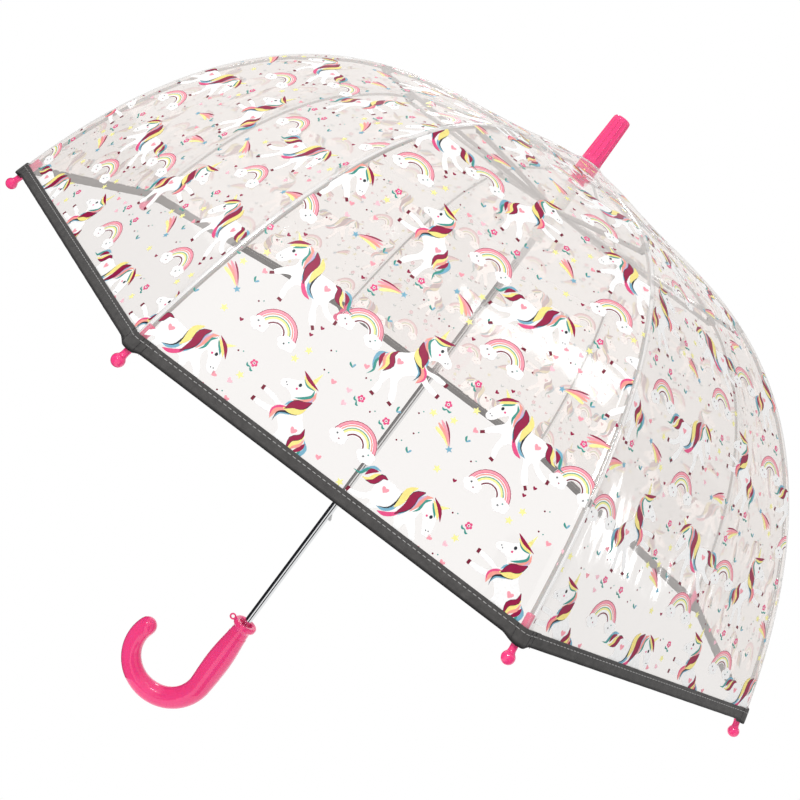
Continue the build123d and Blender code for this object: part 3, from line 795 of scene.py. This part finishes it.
def triangles_of(motif):
    """A motif's outlines as triangles wound anticlockwise, with ink and level."""
    made = []
    for color, level, outline in motif:
        corners = [Vector((x, y, 0)) for x, y in outline]
        for triangle in tessellate_polygon([corners]):
            (ax, ay), (bx, by), (cx, cy) = (outline[i] for i in triangle)
            area = (bx - ax) * (cy - ay) - (cx - ax) * (by - ay)
            if abs(area) < 1e-5:
                continue
            order = triangle if area > 0 else triangle[::-1]
            made.append((color, level, [outline[i] for i in order]))
    return made


def clip(polygon, a, b, c):
    """The part of a convex polygon where a x + b y + c is at least 0."""
    kept = []
    for i, q in enumerate(polygon):
        p = polygon[i - 1]
        dp, dq = a * p[0] + b * p[1] + c, a * q[0] + b * q[1] + c
        if (dp >= 0) != (dq >= 0):
            t = dp / (dp - dq)
            kept.append((p[0] + (q[0] - p[0]) * t, p[1] + (q[1] - p[1]) * t))
        if dq >= 0:
            kept.append(q)
    return kept


class Print:
    """The printed faces of one length of a gore."""

    def __init__(self):
        self.keys, self.points, self.faces, self.inks = {}, [], [], []

    def add(self, color, level, polygon):
        corners = []
        for x, s in polygon:
            key = (round(x, 6), round(s, 6), level)
            if key not in self.keys:
                self.keys[key] = len(self.points)
                self.points.append(key)
            if not corners or corners[-1] != self.keys[key]:
                corners.append(self.keys[key])
        if len(corners) > 1 and corners[0] == corners[-1]:
            corners.pop()
        if len(set(corners)) > 2:
            self.faces.append(tuple(corners))
            self.inks.append(color)


SEAM_MARGIN = 2.0 * MM
FIRST_PRINT_S = 14 * MM
LEVEL_LIFT = 0.035 * MM
CELL = 6.5 * MM
TRIANGLES = {}


def lay_print(k, inner, outer):
    """Cuts the repeat to gore k and shares its faces between the gore's two lengths."""
    offset = random.Random(100 + k)
    shift = (offset.uniform(0, TILE[0]), offset.uniform(0, 14) + 9)  # across, and above the rim
    wide, deep = ROW_WIDTH[-1] / MM, S_RIM / MM
    for number, (motif, mx, my, turn, flip) in enumerate(MOTIFS):
        if number not in TRIANGLES:
            TRIANGLES[number] = triangles_of(motif)
        c, sn = math.cos(turn), math.sin(turn)
        reach = REACH.get(id(motif), 6) + 10
        for column in range(-3, 4):
            for line in range(-1, 5):
                x0 = mx + shift[0] + column * TILE[0]
                y0 = my + shift[1] + line * TILE[1]  # above the rim
                if abs(x0) > wide + reach or not -reach < y0 < deep + reach:
                    continue
                middle = min(max((deep - y0) * MM, 0), S_RIM)
                widest = half_width(np.array([min(middle + reach * MM, S_RIM)]))[0] / MM
                if abs(x0) > widest + reach:
                    continue
                for color, level, triangle in TRIANGLES[number]:
                    polygon = []
                    for x, y in triangle if flip > 0 else triangle[::-1]:
                        px, py = x0 + flip * (c * x - sn * y), y0 + sn * x + c * y
                        polygon.append((px * MM, S_RIM - py * MM))
                    lay_triangle(color, LEVEL_LIFT * (1 + level), polygon, inner, outer)


def lay_triangle(color, level, polygon, inner, outer):
    low, high = min(p[1] for p in polygon), max(p[1] for p in polygon)
    if high < FIRST_PRINT_S or low > S_RIM:
        return
    first = max(int(np.searchsorted(ROWS, low, side="right")) - 1, 0)
    for row in range(first, len(ROWS) - 1):
        top, bottom = ROWS[row], ROWS[row + 1]
        if top >= high:
            break
        part = clip(clip(polygon, 0, 1, -max(top, FIRST_PRINT_S)), 0, -1, bottom)
        slope = (ROW_WIDTH[row + 1] - ROW_WIDTH[row]) / (bottom - top)
        edge = ROW_WIDTH[row] - SEAM_MARGIN - slope * top
        if any(abs(p[0]) > edge + slope * p[1] for p in part):
            part = clip(clip(part, -1, slope, edge), 1, slope, edge)
        store = inner if row < len(INNER_ROWS) - 1 else outer
        if len(part) < 3:
            continue
        left, right = min(p[0] for p in part), max(p[0] for p in part)
        for cell in range(math.floor(left / CELL), math.floor(right / CELL) + 1):
            piece = clip(clip(part, 1, 0, -cell * CELL), -1, 0, (cell + 1) * CELL)
            if len(piece) > 2:
                store.add(color, level, piece)


MOTIFS = tile_motifs()
NAMES = list(INKS)


def print_piece(name, k, store, body):
    """The ink on the film's outside, and the pale underprint that shows from inside."""
    keys = np.array(store.points)
    outside = gore_points(k, keys[:, 0], keys[:, 1], keys[:, 2] + 0.02 * MM)
    within = gore_points(k, keys[:, 0], keys[:, 1], -keys[:, 2] - 0.02 * MM)
    count = len(outside)
    faces = store.faces + [tuple(count + i for i in reversed(f)) for f in store.faces]
    picks = [NAMES.index(c) for c in store.inks]
    picks += [len(NAMES) + p for p in picks]
    materials = [FRONT[n] for n in NAMES] + [BACK[n] for n in NAMES]
    return make_piece(name, np.concatenate([outside, within]), faces, materials, body,
                      picks)


# ---- Canopy ----
COLUMNS = 40
TAPE = 0.82 * MM  # one step across the binding tape in the outlines below


def folds_shut(obj):
    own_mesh(obj)
    return obj


def film_piece(name, k, rows, body, node):
    """One length of a gore's film, with the doubled, welded strip along each side."""
    inner = np.linspace(-1, 1, COLUMNS + 1)
    weld = np.array((1.9, 1.7, 0.9, 0)) * MM
    x = []
    for width in half_width(rows):
        side = width - weld * min(1, width / (4 * MM))
        x.append(np.concatenate([-side[:0:-1], inner * side[0], side[1:]]))
    heights = np.array((0.3, 0.34, 0.2)) * MM
    lift = np.tile(np.concatenate([heights[::-1], np.zeros(COLUMNS + 1), heights]), len(rows))
    count = COLUMNS + 7
    x, s = np.concatenate(x), np.repeat(rows, count)
    faces = grid_faces(len(rows), count)
    picks = [int(i % (count - 1) < 3 or i % (count - 1) >= count - 4) for i in range(len(faces))]
    film = make_piece(name, gore_points(k, x, s, lift), faces, [FILM, SEAM], body,
                      picks, np.stack([x + k, s], 1))
    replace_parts(film, node)
    return folds_shut(film)


def hem_piece(k, body):
    """The binding tape folded over the film's edge, as a thin closed U along the rim."""
    profile = [(-10.6, 0.3), (-10.65, 0.5), (-10.2, 0.68), (-8.2, 0.6), (-7.6, 0.42), (-7.0, 0.6),
               (-4, 0.75), (-0.6, 0.72), (0.3, 0.5), (0.6, 0), (0.3, -0.5), (-0.6, -0.72),
               (-4, -0.75), (-7.0, -0.6), (-7.6, -0.42), (-8.2, -0.6), (-9.9, -0.66),
               (-10.3, -0.5), (-10.2, -0.3), (-0.9, -0.26), (-0.4, 0), (-0.9, 0.26)]
    stations = 70
    points, uvs = [], []
    for u in np.linspace(-1, 1, stations):
        s = np.array([S_RIM + p[0] * TAPE for p in profile])
        x = u * half_width(s)
        wave = 0.16 * MM * math.sin(47 * u + 3 * k) + 0.1 * MM * math.sin(111 * u + k)
        lift = np.array([p[1] * MM + wave * (p[0] + 10.6) / 11 for p in profile])
        points.extend(gore_points(k, x, s, lift))
        uvs += [(float(a), float(b)) for a, b in zip(x, s)]
    hem = make_piece(f"hem_{k}", points, closed_tube(stations, len(profile)), [GREY], body,
                     uvs=uvs)
    return folds_shut(hem)


def stitch_piece(k, body):
    """A row of short stitches near the tape's upper edge, outside and inside."""
    solid = Solid()
    length = half_width(np.array([S_RIM - 7.6 * TAPE]))[0] - 9 * MM
    count = int(2 * length / (3.5 * MM))
    for side in (1, -1):
        for i in range(count):
            middle = -length + (i + 0.5) * 2 * length / count
            rings = []
            for step, size in ((-1.25, 0.35), (-0.7, 1), (0.7, 1), (1.25, 0.35)):
                a = full_turn(6)
                s = S_RIM - 7.6 * TAPE + 0.24 * MM * size * np.cos(a)
                lift = side * (0.5 + 0.02 * side + 0.2 * size * np.sin(a)) * MM
                rings.append(gore_points(k, middle + step * MM * np.ones(6), s, lift))
            solid.rings(rings)
    piece = solid.piece(f"stitches_{k}", THREAD, body, "grey_binding")
    return folds_shut(piece)


def make_gore(k):
    inner_print, outer_print = Print(), Print()
    lay_print(k, inner_print, outer_print)
    inner = film_piece(f"film_inner_{k}", k, INNER_ROWS, f"panel_{k}", f"panel_inner_{k}")
    outer = film_piece(f"film_outer_{k}", k, OUTER_ROWS, f"panel_end_{k}", f"panel_outer_{k}")
    drawn_inner = folds_shut(print_piece(f"print_inner_{k}", k, inner_print, f"panel_{k}"))
    drawn_outer = folds_shut(print_piece(f"print_outer_{k}", k, outer_print, f"panel_end_{k}"))
    hem, stitches = hem_piece(k, f"panel_end_{k}"), stitch_piece(k, f"panel_end_{k}")
    return [(inner, INNER_ROWS, [drawn_inner]), (outer, OUTER_ROWS, [drawn_outer, hem, stitches])]


# ---- Ribs, stretchers, tips and pockets ----
RIB_DEPTH, RIM_RIB_DEPTH, JOINT_DROP = 2.4 * MM, 3.9 * MM, 3.4 * MM
RIB_RADIUS = 1.15 * MM
JOINT_T, FIRST_CANOPY_T = 0.549, 0.13


def radial(k, out, up, side=0.0):
    """A point in rib k's upright plane, side off it."""
    a = (k - 0.5) * STEP
    return Vector((out * math.cos(a) - side * math.sin(a), out * math.sin(a) + side * math.cos(a),
                   up))


def across_rib(k):
    """Unit vector square to rib k's upright plane."""
    return radial(k, 0, 0, 1)


def joint_place(name):
    """How far out and how high a joint is."""
    place = JOINTS[name]["pos_m"]
    return math.hypot(place[0], place[1]), place[2]


CROWN_PIVOT = joint_place("rib_fold_1")
BEND_PIVOT = joint_place("rib_bend_1")
RIB_JOINT = joint_place("stretcher_fold_1")
RUNNER_PIVOT = (0.0105, sum(p.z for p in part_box("runner_wire")) / 2)


def torus(solid, centre, axis, radius, thick, around=24, wire=8):
    """Adds a ring of round wire about an axis; thick is the wire's radius."""
    axis = Vector(axis).normalized()
    across = axis.orthogonal().normalized()
    other = axis.cross(across)
    first = len(solid.points)
    for i in range(around):
        a = 2 * math.pi * i / around
        out = across * math.cos(a) + other * math.sin(a)
        for j in range(wire):
            b = 2 * math.pi * j / wire
            solid.points.append(tuple(Vector(centre) + out * (radius + thick * math.cos(b))
                                      + axis * thick * math.sin(b)))
    for i in range(around):
        for j in range(wire):
            a, b = i * wire, (i + 1) % around * wire
            solid.faces.append((first + a + j, first + b + j, first + b + (j + 1) % wire,
                                first + a + (j + 1) % wire))


def plate(solid, outline, way, thick):
    """A flat plate: an outline of points, and its copy thick away along way."""
    step = Vector(way).normalized() * thick
    solid.rings([[Vector(p) for p in outline], [Vector(p) + step for p in outline]])


def rivet(solid, k, out, up, reach):
    """A rivet across rib k's plane, with a domed head at each end."""
    profile = [(0.05, -reach), (0.7, -reach + 0.05), (1.25, -reach + 0.35), (1.3, -reach + 0.6),
               (0.8, -reach + 0.62), (0.8, reach - 0.62), (1.3, reach - 0.6),
               (1.25, reach - 0.35), (0.7, reach - 0.05), (0.05, reach)]
    solid.lathe(radial(k, out, up), across_rib(k), [(r * MM, h * MM) for r, h in profile], 18)


def make_rib(k):
    body, end_body = f"rib_{k}", f"rib_end_{k}"
    places = [CROWN_PIVOT, (CROWN_PIVOT[0] + 3.2 * MM, CROWN_PIVOT[1] - 0.3 * MM)]
    places += [inside(t, RIB_DEPTH) for t in (FIRST_CANOPY_T, 0.22, 0.32, 0.42, 0.5, 0.6)]
    places.append(BEND_PIVOT)
    line = curve_through([radial(k, *p) for p in places[1:]], 6)
    wire = Solid().tube(line, RIB_RADIUS)
    torus(wire, radial(k, *CROWN_PIVOT), across_rib(k), 1.45 * MM, 0.62 * MM)
    inner = wire.piece(f"rib_wire_{k}", ENAMEL, body, "rib_enamel")
    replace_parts(inner, f"rib_inner_{k}")

    clamp = Solid()
    out, up = RIB_JOINT
    in_out, in_up = canopy_inwards(JOINT_T)

    def on_rib(along, drop, side):
        """A point in mm along the rib, in from it and off its plane, near the joint."""
        drop -= JOINT_DROP / MM
        return radial(k, out + (in_out * drop - in_up * along) * MM,
                      up + (in_up * drop + in_out * along) * MM, side * MM)

    for side in (-1.45, 0.95):
        outline = [on_rib(along, drop, side) for along, drop in (
            (-4.6, -2.0), (4.6, -2.0), (4.8, 1.2), (2.2, 3.6), (1.4, 4.9), (0, 5.3), (-1.4, 4.9),
            (-2.2, 3.6), (-4.8, 1.2))]
        plate(clamp, outline, across_rib(k), 0.5 * MM)
    saddle = ((-1.45, -1.1), (-1.3, -1.75), (-0.6, -2.15), (0.6, -2.15), (1.3, -1.75),
              (1.45, -1.1), (1.0, -1.0), (0.5, -1.5), (-0.5, -1.5), (-1.0, -1.0))
    clamp.rings([[on_rib(along, drop, side) for side, drop in saddle] for along in (-4.6, 4.6)])
    rivet(clamp, k, out, up, 2.6)
    sharpen(clamp.piece(f"rib_clamp_{k}", STEEL, body, "steel_parts"))

    steps = np.linspace(BEND_T, 1.0, 14)
    depths = RIB_DEPTH + (RIM_RIB_DEPTH - RIB_DEPTH) * (steps - BEND_T) / (1 - BEND_T)
    line = [radial(k, *inside(t, d)) for t, d in zip(steps, depths)]
    line[0] = radial(k, *BEND_PIVOT)
    outer = Solid().tube(line, RIB_RADIUS)
    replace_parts(outer.piece(f"rib_end_wire_{k}", ENAMEL, end_body, "rib_enamel"),
                f"rib_outer_{k}")

    ties, around = Solid(), 14
    for t in (0.30, 0.44, 0.66):
        ties.faces += grid_faces(2, around, len(ties.points), wrap=True)
        n_out, n_up = canopy_inwards(t)
        for part in (-0.0045, 0.0045):
            centre_out, centre_up = inside(t + part, RIB_DEPTH)
            for a in full_turn(around):
                drop = (1.95 * math.cos(a) - 0.15) * MM
                ties.points.append(tuple(radial(k, centre_out + n_out * drop,
                                                centre_up + n_up * drop,
                                                1.75 * math.sin(a) * MM)))
    ties.piece(f"rib_ties_{k}", MILKY, body, "milky_plastic")


def make_stretcher(k):
    """A U-channel open downwards, with a flattened eye at the runner and a fork at the rib."""
    start, end = Vector((RUNNER_PIVOT[0], RUNNER_PIVOT[1], 0)), Vector((*RIB_JOINT, 0))
    way = (end - start).normalized()
    up = Vector((-way.y, way.x, 0))
    length = (end - start).length

    def place(along, height, side):
        p = start + way * along + up * height
        return radial(k, p.x, p.y, side)

    solid = Solid()
    shape = [(-1.62, -1.5), (-1.62, 1.0), (-1.35, 1.42), (-0.9, 1.55), (0, 1.58), (0.9, 1.55),
             (1.35, 1.42), (1.62, 1.0), (1.62, -1.5), (1.18, -1.5), (1.18, 0.7), (0.8, 1.05),
             (0, 1.1), (-0.8, 1.05), (-1.18, 0.7), (-1.18, -1.5)]
    rings = []
    for along, wide, tall in ((2.2, 0.62, 0.5), (7, 0.66, 0.56), (11, 0.85, 0.85), (14, 1, 1),
                              (length / MM * 0.35, 1, 1), (length / MM * 0.7, 1, 1),
                              (length / MM - 6.5, 1, 1)):
        bow = 0.5 * math.sin(math.pi * along * MM / length)
        rings.append([place(along * MM, (h * tall + bow) * MM, w * wide * MM) for w, h in shape])
    solid.rings(rings)
    for side in (-1.95, 1.55):
        outline = [place(length + a * MM, h * MM, side * MM)
                   for a, h in ((-9, -1.4), (-9, 1.0), (-1, 1.5), (0.6, 1.35), (1.5, 0.5),
                                (1.5, -0.5), (0.6, -1.35), (-1, -1.5))]
        plate(solid, outline, across_rib(k), 0.4 * MM)
    torus(solid, place(0.9 * MM, 0, 0), across_rib(k), 1.25 * MM, 0.5 * MM, 18)
    piece = solid.piece(f"stretcher_channel_{k}", STEEL, f"stretcher_{k}", "steel_parts")
    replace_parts(sharpen(piece), f"stretcher_{k}")


def make_tip(k):
    """The moulded tip: a sleeve over the rib's end, a stem and a ball, in its sewn pocket."""
    body = f"rib_end_{k}"
    centre = radial(k, *inside(1.0, RIM_RIB_DEPTH))
    a, b = canopy(0.989), canopy(0.991)
    way = (radial(k, *b) - radial(k, *a)).normalized()
    ball, reach = 4.25, 10.0
    profile = [(1.7, -17.6), (2.5, -17.4), (2.7, -16.6), (2.75, -1.2), (2.55, 0), (2.35, 1.0),
               (2.3, 4.6), (2.36, 5.6), (2.55, 6.2)]
    for angle in np.radians(np.linspace(142, 6, 22)):
        ridge = 0.05 if abs(math.degrees(angle) - 90) < 4 else 0
        profile.append(((ball + ridge) * math.sin(angle), reach + ball * math.cos(angle)))
    profile.append((0.12, reach + ball))
    tip = Solid().lathe(centre, way, [(r * MM, h * MM) for r, h in profile], 32)
    piece = tip.piece(f"tip_{k}", PINK, body, "pink_plastic")
    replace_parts(piece, f"tip_cap_{k}")

    make_pocket(k, body)


def make_pocket(k, body):
    """The corner of the binding, sewn into a pocket round the tip's sleeve."""
    outside = [(-10.9, 0.3), (-11.0, 0.5), (-10.4, 0.68), (-8, 0.7), (-3, 0.72), (-0.6, 0.66),
               (0.4, 0.4)]
    inner = [(0.4, -0.5), (-0.6, -0.72), (-3, -0.8), (-8, -0.8), (-10.3, -0.75), (-10.9, -0.6),
             (-10.8, -0.35)]
    lining = [(-1.2, -0.3), (-0.6, 0), (-1.2, 0.3)]
    count = len(outside) + len(inner) + len(lining)
    points, uvs = [], []
    steps = 45
    for v in np.linspace(-13, 13, steps):
        swell = math.exp(-(v / 5.6) ** 2)
        drop = 2.3 * math.exp(-(v / (9.5 if v < 0 else 6.5)) ** 4)
        rows = [(along + drop * max(0, 1 + (along - 0.4) / 9), lift * 0.93 + 0.75 * swell)
                for along, lift in outside]
        rows += [(along + drop * max(0, 1 + (along - 0.4) / 9),
                  lift * 0.93 - 6.3 * math.exp(-(v / 4.6) ** 2) * (0.62 + 0.38 * (along > -9)))
                 for along, lift in inner]
        rows += [(along + drop, lift) for along, lift in lining]
        s = np.array([S_RIM + r[0] * TAPE for r in rows])
        lift = np.array([r[1] * MM for r in rows])
        points.extend(corner_points(k, v * MM * np.ones(count), s, lift))
        uvs += [(v * MM, S_RIM + (r[0] - drop * max(0, 1 + (r[0] - 0.4 - drop) / 9)) * TAPE)
                for r in rows]
    pocket = make_piece(f"pocket_{k}", points, closed_tube(steps, count), [GREY], body,
                        uvs=uvs)
    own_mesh(pocket)

    seams = Solid()
    for v in (-6.2, 4.6, 8.6):
        top = 0.75 * math.exp(-(v / 5.6) ** 2) + 0.66
        for i in range(4):
            seams.tube([corner_points(k, v * MM, S_RIM + (-10.6 + 3.1 * i + 2.4 * q) * TAPE,
                                      (top + h) * MM)[0]
                        for q, h in ((0, 0), (0.5, 0.12), (1, 0))], 0.17 * MM, 6)
    dark = len(seams.faces)
    for i in range(6):
        middle = -9.2 + 3.5 * i
        seams.tube([corner_points(k, (middle + q) * MM, S_RIM - 7.6 * TAPE,
                                  (0.72 + 0.75 * math.exp(-((middle + q) / 5.6) ** 2)) * MM)[0]
                    for q in (-1.1, 0, 1.1)], 0.2 * MM, 6)
    picks = [0] * dark + [1] * (len(seams.faces) - dark)
    threads = make_piece(f"pocket_stitches_{k}", seams.points, seams.faces,
                         [SEAM_THREAD, THREAD], body, picks)
    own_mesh(threads)


# ---- Handle, collar and ferrule ----
def make_handle():
    """A solid hook: straight grip, then an arc, with a round end and a faint mould line."""
    radius, hook_z, sweep, arcs = 36 * MM, -33 * MM, math.radians(200), 44
    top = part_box("hook_handle")[1].z
    grip = [(8.3, 34.5), (8.35, 31), (8.5, 27.4), (8.68, 24.9), (8.72, 24.6), (9.02, 24.4),
            (9.06, 24.1), (9.4, 19.5), (10.3, 12), (11.05, 4),
            (11.5, -6), (11.4, -16), (11.05, -25), (10.6, -33)]
    arc = np.interp(np.linspace(0, 1, arcs), np.linspace(0, 1, 5), (10.6, 9.9, 9.4, 8.9, 8.6))
    grip_line = curve_through([Vector((r, z, 0)) for r, z in grip], 5)
    stations = [(Vector((0, 0, p.y * MM)), Vector((1, 0, 0)), p.x * MM) for p in grip_line]
    stations[0] = (Vector((0, 0, top)), Vector((1, 0, 0)), 8.3 * MM)
    for i in range(1, arcs):
        a = sweep * i / (arcs - 1)
        place = Vector((-radius + radius * math.cos(a), 0, hook_z - radius * math.sin(a)))
        stations.append((place, Vector((math.cos(a), 0, -math.sin(a))), arc[i] * MM))
    last, out, size = stations[-1]
    way = Vector((-math.sin(sweep), 0, -math.cos(sweep)))
    for q in np.radians((14, 28, 42, 55, 67, 78, 86)):
        stations.append((last + way * size * math.sin(q), out, size * math.cos(q)))
    rings = []
    around = 56
    for place, out, size in stations:
        ring = []
        for j in range(around):
            a = 2 * math.pi * j / around
            line = 1 + 0.007 * math.exp(-(math.sin(a) / 0.07) ** 2)
            ring.append(place + (out * math.cos(a) + Vector((0, 1, 0)) * math.sin(a))
                        * size * line)
        rings.append(ring)
    handle = Solid().rings(rings).piece("handle", PINK, "root", "pink_plastic")
    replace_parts(handle, "hook_handle")

    collar = Solid()
    profile = [(3.3, 30.4), (8.2, 30.4), (8.55, 31.2), (8.9, 32.6), (9.9, 33.9), (10.7, 34.5),
               (11.05, 35.3), (11.05, 37.4), (10.75, 38.3), (10.1, 38.9), (9.2, 39.0),
               (7.2, 38.9), (6.4, 38.5), (6.0, 37.6), (5.7, 35.4), (5.2, 35.0), (3.3, 34.9)]
    collar.lathe((0, 0, 0), UP, [(r * MM, z * MM) for r, z in profile], 64)
    torus(collar, (-13.2 * MM, 0, 36.2 * MM), (0, 1, 0), 2.35 * MM, 0.78 * MM, 32, 14)
    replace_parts(sharpen(collar.piece("collar", PINK, "root", "pink_plastic"), 50), "handle_collar")


def make_ferrule():
    low, top = (v.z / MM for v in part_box("ferrule_cap"))
    base, tip, flutes = 9.05, 7.65, 12

    def fluted(radius, height, angle):
        share = np.clip((height / MM - low - 2.4) / 2.0, 0, 1) * np.clip(
            (top - 2.4 - height / MM) / 2.0, 0, 1)
        off = (angle * flutes / (2 * math.pi) + 0.5) % 1 - 0.5
        return radius + share * MM * (0.95 * math.exp(-(off / 0.1) ** 2) - 0.8)

    profile = [(3.25, low), (base - 0.5, low), (base - 0.1, low + 0.35), (base, low + 0.9),
               (base - 0.02, low + 2.8), (base - 0.2, low + 3.3)]
    for q in np.linspace(0, 1, 22):
        profile.append((base - 0.3 + (tip - base + 0.3) * q, low + 3.6 + (top - low - 6.6) * q))
    profile += [(tip - 0.18, top - 2.2), (tip - 0.75, top - 1.3), (tip - 1.8, top - 0.7),
                (4.4, top - 0.25), (2, top - 0.05), (0.1, top)]
    ferrule = Solid().lathe((0, 0, 0), UP, [(r * MM, z * MM) for r, z in profile], 216, fluted)
    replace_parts(ferrule.piece("ferrule", PINK, "root", "pink_plastic"), "ferrule_cap")


# ---- Everything ----
KEPT = {"shaft_tube": CHROME, "crown": PINK, "crown_wire": STEEL, "canopy_washer": MILKY,
        "runner_sleeve": MILKY, "runner_wire": STEEL, "top_catch": STEEL, "bottom_catch": STEEL}
for node, material in KEPT.items():
    NODES[node].data.materials.clear()
    NODES[node].data.materials.append(material)

make_handle()
make_ferrule()
sheets = []
for number in range(1, RIBS + 1):
    make_rib(number)
    make_stretcher(number)
    make_tip(number)
    sheets += make_gore(number)
